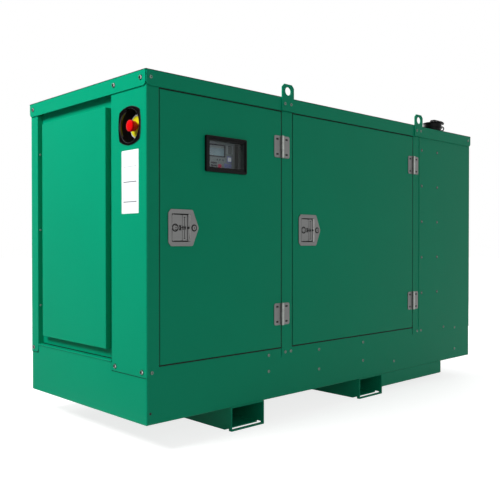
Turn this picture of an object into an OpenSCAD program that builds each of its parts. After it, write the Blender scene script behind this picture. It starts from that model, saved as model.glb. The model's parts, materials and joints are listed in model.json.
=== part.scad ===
// Enclosed diesel generator set: a sheet-steel canopy on a fuel-tank base with two fork channels.
// Millimetres. +X runs along the length from the air-inlet end, -Y is the control side, +Z is up.
// The origin is on the ground under the middle of the machine.

/* [Housing] */
// Length over the end faces
body_l = 2328; // [2250:1:3000]
// Width over the side faces
body_w = 908; // [860:1:1200]
// Height from the underside of the base to the top of the roof
body_h = 1300; // [1200:1:1700]
// Thickness of posts, panels and doors
sheet = 2; // [1.5:0.5:3]
// Outside bend radius at the canopy's vertical corners
bend_r = 5; // [4:0.5:8]

/* [Base] */
// Height of the base rails
rail_h = 210; // [160:1:260]
// Thickness of the base rails
rail_sheet = 4; // [3:0.5:6]
// Width of the flanges along the rails
rail_flange = 50; // [30:1:70]
// How far posts and panels lap down over the base rails
post_lap = 36; // [30:1:45]

/* [Fork channels] */
// Height of the fork channels under the base
foot_h = 100; // [90:1:140]
// Outside width of a fork channel
channel_w = 187; // [160:1:240]
// Thickness of a fork channel's walls
channel_wall = 5; // [4:0.5:8]
// First fork channel, from the inlet end
channel_1_x = 417; // [350:1:480]
// Second fork channel, from the inlet end
channel_2_x = 1265; // [1150:1:1330]
// Width of the strap left at each mouth of a channel
strap_w = 16; // [12:1:25]
// Width of the lashing slot behind that strap
slot_w = 27; // [20:1:40]
// How far the slot rises into the channel's side walls
slot_notch = 9; // [6:1:15]

/* [Sump] */
// Length of the drop sump beside the second fork channel
sump_l = 565; // [400:1:640]
// Depth of the drop sump below the base
sump_h = 66; // [40:1:85]
// Wall of the drop sump
sump_wall = 3; // [2:0.5:5]

/* [Side openings] */
// Width of the corner posts on the side faces
corner_w = 56; // [45:1:80]
// Width of the control door's opening
opening_1_w = 655; // [600:1:700]
// Width of the post between the two doors
centre_post_w = 65; // [60:1:90]
// Width of the engine door's opening
opening_2_w = 952; // [850:1:960]
// Width of the post beyond the engine door
end_post_w = 56; // [50:1:80]
// Gap all round a door
door_gap = 5; // [5:0.5:8]
// Depth of a door's folded edge
door_t = 30; // [25:1:40]
// Thickness of the acoustic lining in a door
lining_t = 22; // [15:1:25]
// Width of the sealing flange behind a door's edge
seal_flange = 18; // [12:1:25]

/* [End faces] */
// Width of the control-side post on the inlet end
wide_post_w = 234; // [225:1:260]
// Width of the other end posts
narrow_post_w = 64; // [50:1:90]
// Depth of the recess in each end
recess_depth = 25; // [20:1:40]
// Gap between the baffle and the recess's edges
baffle_gap = 42; // [30:1:90]
// Depth of the fold along the baffle's open lower edge
baffle_lip = 6; // [4:1:12]
// How far the baffle laps over the air opening's edges
opening_lap = 40; // [25:1:60]
// Corner radius at the foot of the end posts
post_foot_r = 14; // [5:1:30]

/* [Roof] */
// Thickness of the roof sheet
roof_sheet = 2.5; // [2:0.5:3]
// How far the roof stands out past the faces
roof_overhang = 5; // [4.5:0.5:8]
// Height of the roof's skirt
skirt_h = 59; // [50:1:80]
// Corner radius at the skirt's lower corners
skirt_r = 18; // [6:1:20]

/* [Lifting eyes] */
// Width of a lifting eye
eye_w = 75; // [60:1:90]
// Thickness of a lifting eye
eye_t = 5; // [5:0.5:12]
// Height of a lifting eye above the roof
eye_rise = 58; // [50:1:80]
// Radius of the shackle hole
eye_hole_r = 18; // [12:0.5:20]
// Shackle hole's centre below the eye's top
eye_hole_drop = 30; // [24:1:32]
// Corner cut of a lifting eye
eye_chamfer = 14; // [8:1:18]
// First pair of eyes, from the inlet end
eye_1_x = 740; // [650:1:800]
// Second pair of eyes, from the inlet end
eye_2_x = 1767; // [1650:1:1850]

/* [Hinges] */
// Height of a hinge
hinge_h = 95; // [80:1:120]
// Reach of a hinge leaf from the pin's centre
hinge_reach = 48; // [40:1:50]
// Thickness of a hinge leaf
hinge_leaf_t = 3; // [2.5:0.5:4]
// Radius of the hinge barrel
barrel_r = 7; // [6:0.5:9]
// Radius of the hinge pin
pin_r = 3; // [2.5:0.5:4]
// Upper hinge's centre below the top of the door opening
hinge_drop = 157; // [120:1:200]
// Lower hinge's centre above the bottom of the door opening
hinge_rise = 150; // [120:1:200]

/* [Door latches] */
// Distance of a latch plate from the edge of the door opening
latch_edge = 40; // [30:1:60]
// Width of the straight part of a latch plate
latch_w = 112; // [105:1:125]
// Height of a latch plate
latch_h = 140; // [130:1:160]
// Length of the pointed part of a latch plate
latch_tip = 34; // [25:1:45]
// How far a latch plate stands out
latch_rim = 4; // [3:0.5:6]
// Depth of the dish behind a latch paddle
dish_depth = 18; // [14:1:20]

/* [Window] */
// Width of the window in the frame
window_w = 190; // [150:1:220]
// Height of the window in the frame
window_h = 114; // [90:1:140]
// Width of the window frame's bars
window_bar = 14; // [10:1:20]
// How far the window frame stands out
window_proud = 12; // [8:1:15]
// Window's centre below the top of the door opening
window_drop = 222; // [180:1:260]

/* [Controller] */
// Depth of the controller's face behind the door's face
controller_depth = 70; // [60:1:90]
// Width of the controller
controller_w = 257; // [220:1:280]
// Height of the controller
controller_h = 180; // [150:1:200]
// Controller's right edge from the left edge of the door opening
controller_x = 441; // [420:1:460]

/* [Emergency stop] */
// Size of the stop button's cup, across the middle of its bowed sides
stop_cup_d = 146; // [140:1:160]
// Diameter of the cup's round mouth
stop_mouth_d = 132; // [120:1:136]
// Depth of the cup
stop_cup_depth = 34; // [30:1:50]
// Thickness of the cup's wall
stop_cup_wall = 4; // [3:0.5:6]
// How far the cup's rim stands out
stop_rim = 4; // [2:0.5:4.5]
// Cup's centre from the control side
stop_y = 106; // [95:1:115]
// Cup's centre below the roof's skirt
stop_drop = 135; // [110:1:200]
// Diameter of the red head
stop_head_d = 45; // [35:1:50]
// How far the head stands out of the face
stop_head_out = 5; // [2:0.5:5]
// Diameter of the yellow ring
stop_ring_d = 84; // [70:1:90]
// Travel of the button
stop_travel = 4; // [3:0.5:4]

/* [Exhaust] */
// Outside diameter of the exhaust outlet
exhaust_d = 97; // [70:1:110]
// Wall of the exhaust outlet
exhaust_wall = 3; // [2:0.5:5]
// Height of the outlet's mouth above the roof
exhaust_rise = 60; // [45:1:80]
// Distance of the outlet from the discharge end
exhaust_x = 252; // [200:1:320]
// Distance of the outlet from the control side
exhaust_y = 96; // [90:1:160]

/* [Running clearances] */
// Radial clearance of pins and stems in their bores
pin_clear = 0.1; // [0.05:0.01:0.2]
// Clearance of a hinge barrel from the faces behind it
barrel_lift = 0.5; // [0.3:0.1:1]
// Clearance round a latch paddle
paddle_gap = 5; // [5:0.5:6]

/* [Hidden] */
$fn = 96;
eps = 1;

// The base stands back by the thickness of the posts and panels that lap over it
rail_inset = sheet;

// Heights above the ground
floor_z = foot_h + rail_h - rail_sheet;
rail_top = foot_h + rail_h;
roof_top = foot_h + body_h;
roof_under = roof_top - roof_sheet;
skirt_bottom = roof_top - skirt_h;
sill_z = rail_top + door_gap;
head_z = skirt_bottom - door_gap;
latch_z = (rail_top + skirt_bottom) / 2;
window_z = skirt_bottom - window_drop;
stop_z = skirt_bottom - stop_drop;
hinge_zs = [skirt_bottom - hinge_drop, rail_top + hinge_rise];

// Positions along the side, from the inlet end
opening_1_x = corner_w;
centre_post_x = opening_1_x + opening_1_w;
opening_2_x = centre_post_x + centre_post_w;
end_post_x = opening_2_x + opening_2_w;
side_panel_x = end_post_x + end_post_w;
window_x = opening_1_x + opening_1_w / 2;
doors = [[opening_1_x, opening_1_w], [opening_2_x, opening_2_w]];

// The seal flanges stand behind the doors, one gap further in
rebate = door_t + door_gap;
// Hinge pins run in front of the face
hinge_y = -barrel_r - barrel_lift;
// Wall of a door cut-out beyond the piece that fills it
cut_clear = 1;

colour_end = [0.0, 0.62, 0.46];
colour_side = [0.13, 0.40, 0.30];
colour_under = [0.0, 0.24, 0.16];
colour_steel = [0.48, 0.48, 0.49];
colour_black = [0.06, 0.06, 0.07];
colour_foam = [0.16, 0.16, 0.17];

// --- Places -------------------------------------------------------------------------------------

// From the foot of the front corner at the inlet end: x along the side, y inwards, z up
module from_corner() {
    translate([-body_l / 2, -body_w / 2, 0]) children();
}

// The same place at the rear, with y inwards from the rear face
module from_rear_corner() {
    mirror([0, 1, 0]) from_corner() children();
}

// The same place at the discharge end, with x inwards from that end
module from_outlet_corner() {
    mirror([1, 0, 0]) from_corner() children();
}

// --- Shapes -------------------------------------------------------------------------------------

// A box from one corner to the opposite one
module block(low, high) {
    translate(low) cube(high - low);
}

// Rectangle centred on the origin, with round corners
module round_rect(w, h, r) {
    square([w - 2 * r, h], center = true);
    square([w, h - 2 * r], center = true);
    for (x = [-1, 1], y = [-1, 1])
        translate([x * (w / 2 - r), y * (h / 2 - r)]) circle(r);
}

// Rectangle from the origin whose corner there is a bend
module bent_corner(w, h, r) {
    translate([r, 0]) square([w - r, h]);
    translate([0, r]) square([w, h - r]);
    translate([r, r]) circle(r);
}

// Section of a sheet bent round a vertical corner
module angle_section(w, h) {
    difference() {
        bent_corner(w, h, bend_r);
        translate([sheet, sheet]) bent_corner(w, h, bend_r - sheet);
    }
}

// A flat plate on a side face: a drawing in x and z, from y_low to y_high
module side_plate(y_low, y_high) {
    translate([0, y_high, 0]) rotate([90, 0, 0]) linear_extrude(y_high - y_low) children();
}

// A flat plate on an end face: a drawing in y and z, from x_low to x_high
module end_plate(x_low, x_high) {
    translate([x_low, 0, 0]) rotate([90, 0, 90]) linear_extrude(x_high - x_low) children();
}

// --- Base ---------------------------------------------------------------------------------------

// One long channel rail, open inwards, between the end plates
module base_rail() {
    x_low = rail_inset + rail_sheet;
    color(colour_side) difference() {
        block([x_low, rail_inset, foot_h],
              [body_l - x_low, rail_inset + rail_flange, rail_top]);
        block([x_low - eps, rail_inset + rail_sheet, foot_h + rail_sheet],
              [body_l - x_low + eps, rail_inset + rail_flange + eps, rail_top - rail_sheet]);
    }
}

module base_rail_front() {
    from_corner() base_rail();
}

module base_rail_rear() {
    from_rear_corner() base_rail();
}

// Plan of a piece along one end of the base, depth deep, with its corners clear of the bent sheets
module base_end_plan(depth) {
    intersection() {
        translate([rail_inset, rail_inset]) square([depth, body_w - 2 * rail_inset]);
        translate([body_l / 2, body_w / 2])
            round_rect(body_l - 2 * rail_inset, body_w - 2 * rail_inset, bend_r - sheet + 1);
    }
}

// Plate across one end of the base, with a lip along its top edge
module base_end() {
    translate([0, 0, foot_h]) linear_extrude(rail_h) base_end_plan(rail_sheet);
    translate([0, 0, rail_top]) linear_extrude(sheet) base_end_plan(recess_depth - rail_inset);
}

module base_ends() {
    color(colour_end) {
        from_corner() base_end();
        from_outlet_corner() base_end();
    }
}

// Closed fuel tank between the rails; its top is the machine's floor
module base_tank() {
    side = rail_inset + rail_sheet;
    color(colour_under) from_corner()
        block([side, side, foot_h + rail_sheet],
              [body_l - side, body_w - side, rail_top - rail_sheet]);
}

// Box channel for a fork tine, open at both sides, with a lashing slot behind each mouth
module fork_channel(x) {
    length = body_w - 2 * rail_inset;
    slot_ys = [strap_w, length - strap_w - slot_w];
    color(colour_under) from_corner() translate([x, rail_inset, 0]) difference() {
        cube([channel_w, length, foot_h]);
        translate([channel_wall, -eps, channel_wall])
            cube([channel_w - 2 * channel_wall, length + 2 * eps, foot_h - 2 * channel_wall]);
        for (y = slot_ys)
            translate([-eps, y, -eps])
                cube([channel_w + 2 * eps, slot_w, slot_notch + eps]);
    }
}

module fork_channel_1() {
    fork_channel(channel_1_x);
}

module fork_channel_2() {
    fork_channel(channel_2_x);
}

// Open-topped tray under the base, beside the second fork channel
module drop_sump() {
    x = channel_2_x + channel_w;
    y = rail_inset + 1;
    color(colour_side) from_corner() difference() {
        block([x, y, foot_h - sump_h], [x + sump_l, body_w - y, foot_h]);
        block([x + sump_wall, y + sump_wall, foot_h - sump_h + sump_wall],
              [x + sump_l - sump_wall, body_w - y - sump_wall, foot_h + eps]);
    }
}

// --- Corner posts and side panels ---------------------------------------------------------------

// Sheet bent round a corner of the canopy, lapping down over the base. The foot of its end face
// has a round corner
module corner_sheet(side_w, end_w) {
    r = post_foot_r;
    translate([0, 0, rail_top - post_lap]) difference() {
        linear_extrude(roof_under - rail_top + post_lap) angle_section(side_w, end_w);
        translate([0, end_w - r, 0]) end_plate(-eps, sheet + eps) difference() {
            translate([0, -eps]) square([r + eps, r + eps]);
            translate([0, r]) circle(r);
        }
    }
}

// Fold from the end face back to the recessed panel
module recess_return(end_w) {
    block([sheet, end_w - sheet, rail_top + sheet], [recess_depth, end_w, roof_under]);
}

// Outline of the emergency stop's cup: a square whose four sides are bowed, with eased corners
module cup_outline() {
    half = stop_cup_d / 2;
    side_r = 235;
    head_r = 130;
    intersection() {
        translate([side_r - half, 0]) circle(side_r);
        translate([half - side_r, 0]) circle(side_r);
        translate([0, head_r - half]) circle(head_r);
        translate([0, half - head_r]) circle(head_r);
        circle(half * 1.165);
    }
}

module corner_post_front() {
    color(colour_end) from_corner() difference() {
        union() {
            corner_sheet(corner_w, wide_post_w);
            recess_return(wide_post_w);
        }
        translate([0, stop_y, stop_z]) end_plate(-eps, sheet + eps)
            circle(stop_mouth_d / 2 + stop_cup_wall);
    }
}

module corner_post_rear() {
    color(colour_end) from_rear_corner() {
        corner_sheet(corner_w, narrow_post_w);
        recess_return(narrow_post_w);
    }
}

// Fixed panel from the last post round the corner to the discharge end's recess
module side_panel() {
    panel_l = body_l - side_panel_x;
    color(colour_side) mirror([1, 0, 0]) translate([-body_l, 0, 0]) {
        corner_sheet(panel_l, narrow_post_w);
        recess_return(narrow_post_w);
    }
}

module side_panel_front() {
    from_corner() side_panel();
}

module side_panel_rear() {
    from_rear_corner() side_panel();
}

// --- Door frame ---------------------------------------------------------------------------------

// Fold beside a door opening and the flange that the door seals against. dir is +1 when the
// opening lies towards the discharge end
module door_rebate(x, dir) {
    fold_x = dir > 0 ? x - sheet : x;
    flange_x = dir > 0 ? x - sheet : x - seal_flange;
    block([fold_x, sheet, rail_top], [fold_x + sheet, rebate + sheet, roof_under]);
    block([flange_x, rebate, rail_top], [flange_x + seal_flange + sheet, rebate + sheet, roof_under]);
}

// Post face between two openings, lapping down over the rail
module post_face(x, w) {
    block([x, 0, rail_top - post_lap], [x + w, sheet, roof_under]);
}

// Header behind the roof's skirt and the sill flange of one opening. The header's face starts a
// slit away from the jamb, which stands behind the corner post's face
module header_and_sill(x, w) {
    slit = 1;
    block([x + slit, 0, skirt_bottom], [x + w, sheet, roof_under]);
    block([x, 0, skirt_bottom], [x + w, rebate + sheet, skirt_bottom + sheet]);
    block([x, rebate, skirt_bottom - seal_flange], [x + w, rebate + sheet, skirt_bottom + sheet]);
    block([x, rebate, rail_top], [x + w, rebate + sheet, rail_top + seal_flange]);
}

module door_frame() {
    color(colour_side) {
        door_rebate(opening_1_x, 1);
        post_face(centre_post_x, centre_post_w);
        door_rebate(centre_post_x, -1);
        door_rebate(opening_2_x, 1);
        post_face(end_post_x, end_post_w);
        door_rebate(end_post_x, -1);
        for (d = doors)
            header_and_sill(d[0], d[1]);
    }
}

module door_frame_front() {
    from_corner() door_frame();
}

module door_frame_rear() {
    from_rear_corner() door_frame();
}

// --- End recesses -------------------------------------------------------------------------------

// Recessed panel of an end, with the air opening that the baffle hides. y_low and y_high are the
// edges of the recess
module recess_panel(y_low, y_high) {
    hidden = baffle_gap + opening_lap;
    flange = 12;
    color(colour_end) difference() {
        block([recess_depth, y_low - flange, rail_top + sheet],
              [recess_depth + sheet, y_high + flange, roof_under]);
        block([recess_depth - eps, y_low + hidden, rail_top + hidden],
              [recess_depth + sheet + eps, y_high - hidden, skirt_bottom - hidden]);
    }
}

// Baffle level with the posts' faces. Its sides and top fold back to the panel; its lower edge has
// a short lip only, and the air passes above that
module baffle(y_low, y_high) {
    a = [y_low + baffle_gap, rail_top + baffle_gap];
    b = [y_high - baffle_gap, skirt_bottom - baffle_gap];
    color(colour_end) difference() {
        block([0, a[0], a[1]], [recess_depth, b[0], b[1]]);
        block([sheet, a[0] + sheet, a[1] + sheet],
              [recess_depth + eps, b[0] - sheet, b[1] - sheet]);
        block([baffle_lip, a[0] + sheet, a[1] - eps],
              [recess_depth + eps, b[0] - sheet, a[1] + sheet + eps]);
    }
}

module inlet_panel() {
    from_corner() recess_panel(wide_post_w, body_w - narrow_post_w);
}

module inlet_baffle() {
    from_corner() baffle(wide_post_w, body_w - narrow_post_w);
}

module outlet_panel() {
    from_outlet_corner() recess_panel(narrow_post_w, body_w - narrow_post_w);
}

module outlet_baffle() {
    from_outlet_corner() baffle(narrow_post_w, body_w - narrow_post_w);
}

// --- Roof ---------------------------------------------------------------------------------------

// One side of the skirt, centred, hanging down from z = 0, with round lower corners
module skirt(length) {
    translate([0, -skirt_h]) {
        translate([-length / 2 + skirt_r, 0]) square([length - 2 * skirt_r, skirt_h]);
        translate([-length / 2, skirt_r]) square([length, skirt_h - skirt_r]);
        for (s = [-1, 1])
            translate([s * (length / 2 - skirt_r), skirt_r]) circle(skirt_r);
    }
}

module roof() {
    l = body_l + 2 * roof_overhang;
    w = body_w + 2 * roof_overhang;
    slit = roof_sheet + 1;
    color(colour_side) difference() {
        union() {
            block([-l / 2, -w / 2, roof_under], [l / 2, w / 2, roof_top]);
            translate([0, 0, roof_top]) for (s = [0, 1]) {
                mirror([0, s, 0]) translate([0, -w / 2, 0])
                    side_plate(0, roof_sheet) skirt(l - 2 * slit);
                mirror([s, 0, 0]) translate([-l / 2, 0, 0])
                    end_plate(0, roof_sheet) skirt(w - 2 * slit);
            }
        }
        translate([body_l / 2 - exhaust_x, exhaust_y - body_w / 2, roof_under - eps])
            cylinder(r = exhaust_d / 2 + cut_clear, h = roof_sheet + 2 * eps);
    }
}

// Plate standing over the skirt, with cut upper corners and a shackle hole
module lifting_eye() {
    top = roof_top + eye_rise;
    h = top - skirt_bottom;
    side_plate(-roof_overhang - eye_t, -roof_overhang) difference() {
        polygon([
            [-eye_w / 2, skirt_bottom], [eye_w / 2, skirt_bottom],
            [eye_w / 2, top - eye_chamfer], [eye_w / 2 - eye_chamfer, top],
            [-eye_w / 2 + eye_chamfer, top], [-eye_w / 2, top - eye_chamfer]
        ]);
        translate([0, skirt_bottom + h - eye_hole_drop]) circle(eye_hole_r);
    }
}

module lifting_eyes() {
    color(colour_side) for (x = [eye_1_x, eye_2_x]) {
        from_corner() translate([x, 0, 0]) lifting_eye();
        from_rear_corner() translate([x, 0, 0]) lifting_eye();
    }
}

// --- Doors --------------------------------------------------------------------------------------

// Plan of a door latch, from the latch plate's lower left corner
dish_side = 17;
dish_end = 17;
dish_tip_side = 8;
dish_wall = 1.5;
dish_w = latch_w - dish_side - dish_tip_side;
dish_h = latch_h - 2 * dish_end;

// Frame of reference of a door's latch: x from the plate's left edge, z from its middle
module at_latch(d) {
    translate([d[0] + latch_edge, 0, latch_z]) children();
}

// Room for a latch dish in a door, grown by a clearance
module latch_cut(d, clear, y_low, y_high) {
    grow = dish_wall + clear;
    at_latch(d)
        block([dish_side - grow, y_low, -dish_h / 2 - grow],
              [dish_side + dish_w + grow, y_high, dish_h / 2 + grow]);
}

// Room for the window frame's sleeve in the control door
module window_cut(clear, y_low, y_high) {
    grow = window_sleeve + clear;
    translate([window_x, 0, window_z])
        block([-window_w / 2 - grow, y_low, -window_h / 2 - grow],
              [window_w / 2 + grow, y_high, window_h / 2 + grow]);
}

// Outer sheet of a door with its edges folded inwards
module door_pan(d) {
    difference() {
        block([d[0] + door_gap, 0, sill_z], [d[0] + d[1] - door_gap, door_t, head_z]);
        block([d[0] + door_gap + sheet, sheet, sill_z + sheet],
              [d[0] + d[1] - door_gap - sheet, door_t + eps, head_z - sheet]);
        latch_cut(d, cut_clear, -eps, sheet + eps);
    }
}

// Acoustic lining inside a door's folds
module door_lining(d) {
    edge = door_gap + sheet;
    difference() {
        block([d[0] + edge, sheet, sill_z + sheet],
              [d[0] + d[1] - edge, sheet + lining_t, head_z - sheet]);
        latch_cut(d, cut_clear, sheet - eps, sheet + lining_t + eps);
    }
}

module control_door() {
    color(colour_side) from_corner() difference() {
        door_pan(doors[0]);
        window_cut(cut_clear, -eps, sheet + eps);
    }
}

module control_door_lining() {
    color(colour_foam) from_corner() difference() {
        door_lining(doors[0]);
        window_cut(cut_clear, sheet - eps, sheet + lining_t + eps);
    }
}

module engine_door() {
    color(colour_side) from_corner() door_pan(doors[1]);
}

module engine_door_lining() {
    color(colour_foam) from_corner() door_lining(doors[1]);
}

module rear_door_1() {
    color(colour_side) from_rear_corner() door_pan(doors[0]);
}

module rear_door_2() {
    color(colour_side) from_rear_corner() door_pan(doors[1]);
}

// --- Hinges -------------------------------------------------------------------------------------

knuckles = 3;
knuckle_h = hinge_h / knuckles;
knuckle_gap = 0.4;
leaf_start = barrel_r + 1.5;

// Pin's place on the side face, in the middle of the gap beside a door
function hinge_x(d) = d[0] + d[1] - door_gap / 2;

// The three knuckles' places, from the hinge's middle
module at_knuckles(ks) {
    for (k = ks)
        translate([0, 0, (k - 1) * knuckle_h - knuckle_h / 2]) children();
}

// Leaf on one side of the pin: dir is +1 for the post's and -1 for the door's. ks are its knuckles
module hinge_leaf(dir, ks) {
    mirror([dir > 0 ? 0 : 1, 0, 0]) {
        block([leaf_start, -hinge_leaf_t, -hinge_h / 2], [hinge_reach, 0, hinge_h / 2]);
        at_knuckles(ks)
            block([0, -hinge_leaf_t, knuckle_gap], [leaf_start, -barrel_lift, knuckle_h - knuckle_gap]);
    }
    at_knuckles(ks) translate([0, hinge_y, knuckle_gap])
        cylinder(r = barrel_r, h = knuckle_h - 2 * knuckle_gap);
}

// Post's leaf with the pin
module hinge_fixed_half() {
    hinge_leaf(1, [0, 2]);
    translate([0, hinge_y, -hinge_h / 2]) cylinder(r = pin_r, h = hinge_h);
}

// Door's leaf, bored for the pin
module hinge_moving_half() {
    difference() {
        hinge_leaf(-1, [1]);
        translate([0, hinge_y, -hinge_h / 2]) cylinder(r = pin_r + pin_clear, h = hinge_h);
    }
}

// Both hinges of one door
module at_hinges(d) {
    for (z = hinge_zs)
        translate([hinge_x(d), 0, z]) children();
}

module hinge_post_leaves() {
    color(colour_steel) from_corner() for (d = doors)
        at_hinges(d) hinge_fixed_half();
}

module hinge_leaves_control_door() {
    color(colour_steel) from_corner() at_hinges(doors[0]) hinge_moving_half();
}

module hinge_leaves_engine_door() {
    color(colour_steel) from_corner() at_hinges(doors[1]) hinge_moving_half();
}

module hinges_rear() {
    color(colour_steel) from_rear_corner() for (d = doors) at_hinges(d) {
        hinge_fixed_half();
        hinge_moving_half();
    }
}

// --- Door latches -------------------------------------------------------------------------------

latch_r = 9;
latch_pin_r = 2.5;
latch_knuckle_r = 4.5;
paddle_t = 3;
paddle_drop = 1;
// Pivot of the paddle, from the plate's left edge and the door's face
latch_pin_x = dish_side + paddle_gap + latch_knuckle_r;
latch_pin_y = paddle_t / 2;

// Latch plate seen from the front: square with round corners, and pointed towards the hinge
module latch_outline() {
    point_r = latch_r;
    translate([latch_r, -latch_h / 2]) square([latch_w - latch_r, latch_h]);
    translate([0, -latch_h / 2 + latch_r]) square([latch_r, latch_h - 2 * latch_r]);
    for (z = [-1, 1])
        translate([latch_r, z * (latch_h / 2 - latch_r)]) circle(latch_r);
    polygon([[latch_w, -latch_h / 2], [latch_w + latch_tip - point_r / 2, -point_r],
             [latch_w + latch_tip - point_r / 2, point_r], [latch_w, latch_h / 2]]);
    translate([latch_w + latch_tip - point_r, 0]) circle(point_r);
}

// Plate on the door's face and the dish behind it, bored for the paddle's pin
module latch_plate(d) {
    at_latch(d) difference() {
        union() {
            side_plate(-latch_rim, 0) latch_outline();
            block([dish_side - dish_wall, -eps, -dish_h / 2 - dish_wall],
                  [dish_side + dish_w + dish_wall, dish_depth + dish_wall, dish_h / 2 + dish_wall]);
        }
        block([dish_side, -latch_rim - eps, -dish_h / 2],
              [dish_side + dish_w, dish_depth, dish_h / 2]);
        translate([latch_pin_x, latch_pin_y, -latch_h / 2])
            cylinder(r = latch_pin_r + pin_clear, h = latch_h);
    }
}

// Paddle with its pin and the lock's barrel
module latch_paddle(d) {
    half_h = dish_h / 2 - paddle_gap;
    free_x = dish_side + dish_w - paddle_gap;
    face_y = -latch_rim + paddle_drop;
    lock_r = 11;
    at_latch(d) {
        block([latch_pin_x, face_y, -half_h], [free_x, face_y + paddle_t, half_h]);
        translate([latch_pin_x, latch_pin_y, -half_h]) cylinder(r = latch_knuckle_r, h = 2 * half_h);
        translate([latch_pin_x, latch_pin_y, -dish_h / 2 - dish_wall])
            cylinder(r = latch_pin_r, h = dish_h + 2 * dish_wall);
        translate([latch_pin_x + lock_r, face_y, 0]) rotate([-90, 0, 0])
            cylinder(r = lock_r, h = paddle_t + 6);
    }
}

module latch_plate_control_door() {
    color(colour_steel) from_corner() latch_plate(doors[0]);
}

module latch_paddle_control_door() {
    color(colour_steel) from_corner() latch_paddle(doors[0]);
}

module latch_plate_engine_door() {
    color(colour_steel) from_corner() latch_plate(doors[1]);
}

module latch_paddle_engine_door() {
    color(colour_steel) from_corner() latch_paddle(doors[1]);
}

module latches_rear() {
    color(colour_steel) from_rear_corner() for (d = doors) {
        latch_plate(d);
        latch_paddle(d);
    }
}

// --- Window and controls ------------------------------------------------------------------------

window_sleeve = 3;
window_r = 5;
glass_t = 4;

// Frame on the door's face with a sleeve through the sheet
module window_frame() {
    color(colour_black) from_corner() translate([window_x, 0, window_z]) difference() {
        union() {
            side_plate(-window_proud, 0)
                round_rect(window_w + 2 * window_bar, window_h + 2 * window_bar, window_r);
            side_plate(-eps, sheet + glass_t)
                square([window_w + 2 * window_sleeve, window_h + 2 * window_sleeve], center = true);
        }
        side_plate(-window_proud - eps, sheet + glass_t + eps)
            square([window_w, window_h], center = true);
    }
}

module window_glass() {
    color("lightblue", 0.4) from_corner() translate([window_x, 0, window_z])
        side_plate(0, glass_t) square([window_w, window_h], center = true);
}

controller_t = 8;
controller_right = opening_1_x + controller_x;
controller_z = window_z - 10;
// Cabinet round the controller
cabinet_margin = 45;
cabinet_depth = 200;
cabinet_leg = 40;

// Cabinet behind the window, on two legs
module control_cabinet() {
    y = controller_depth + controller_t;
    x_low = controller_right - controller_w - 2 * cabinet_margin;
    x_high = controller_right + cabinet_margin;
    z_low = controller_z - controller_h / 2 - cabinet_margin;
    z_high = controller_z + controller_h / 2 + cabinet_margin;
    color(colour_foam) from_corner() {
        block([x_low, y, z_low], [x_high, y + cabinet_depth, z_high]);
        for (x = [x_low, x_high - cabinet_leg])
            block([x, y + cabinet_leg, floor_z], [x + cabinet_leg, y + 2 * cabinet_leg, z_low]);
    }
}

// Controller's face, with a raised frame round its display
module controller() {
    display_w = 150;
    display_h = 56;
    display_right = 50;
    display_up = 26;
    bar = 6;
    raised = 3;
    color(colour_steel) from_corner()
        translate([controller_right - controller_w / 2, controller_depth, controller_z]) {
            side_plate(0, controller_t) round_rect(controller_w, controller_h, bar);
            translate([controller_w / 2 - display_right - display_w / 2, 0, display_up])
                side_plate(-raised, 0) difference() {
                    round_rect(display_w, display_h, bar);
                    square([display_w - 2 * bar, display_h - 2 * bar], center = true);
                }
        }
}

// --- Emergency stop -----------------------------------------------------------------------------

stop_ring_t = 3;
stop_stem_r = 10;
stop_body_r = stop_head_d / 2 - 2;
stop_head_t = 16;
stop_clear = 5;
stop_body_end = stop_cup_depth - stop_ring_t - stop_travel - stop_clear;
stop_stem_end = stop_cup_depth + stop_cup_wall + stop_travel + stop_clear;

module at_stop() {
    from_corner() translate([0, stop_y, stop_z]) children();
}

// Cup let into the corner post, with a rim on the face
module stop_cup() {
    mouth_r = stop_mouth_d / 2;
    color(colour_black) at_stop() difference() {
        union() {
            end_plate(-stop_rim, 0) cup_outline();
            end_plate(-eps, stop_cup_depth + stop_cup_wall) circle(mouth_r + stop_cup_wall);
        }
        end_plate(-stop_rim - eps, stop_cup_depth) circle(mouth_r);
        end_plate(0, stop_stem_end) circle(stop_stem_r + pin_clear);
    }
}

module stop_ring() {
    color("yellow") at_stop() end_plate(stop_cup_depth - stop_ring_t, stop_cup_depth) difference() {
        circle(stop_ring_d / 2);
        circle(stop_stem_r + pin_clear);
    }
}

// Red head, its body and the stem through the cup
module stop_button() {
    color("red") at_stop() {
        end_plate(-stop_head_out, stop_head_t - stop_head_out) circle(stop_head_d / 2);
        end_plate(0, stop_body_end) circle(stop_body_r);
        end_plate(0, stop_stem_end) circle(stop_stem_r);
    }
}

// --- Exhaust ------------------------------------------------------------------------------------

mouth_z = roof_top + exhaust_rise;
pipe_bottom = roof_under - 120;
// Clamp band below the mouth, and the lugs that stand on it
band_t = 4;
band_h = 22;
band_top = mouth_z - 4;
lug_t = 6;
lug_reach = 6;
lug_top = 5;
// Wire loop that closes the band, turned from the pin towards the control side
loop_r = 11;
wire_r = 3;
loop_turn = 27;
loop_drop = 22;
// Flap's pin, from the pipe's centre and its mouth
flap_pin_x = exhaust_d / 2 + 12;
flap_pin_z = 12;
// Lid
flap_t = 4;
flap_lift = 0.3;
flap_over = 7;
flap_gap = 1;
// Hump over the lid, with a round tail beyond the pin that balances it
strap_half = 12;
strap_top = flap_pin_z + 11;
strap_foot = 15;
tail_r = 10;
tail = 31;

module at_exhaust() {
    from_corner() translate([body_l - exhaust_x, exhaust_y, 0]) children();
}

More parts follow.
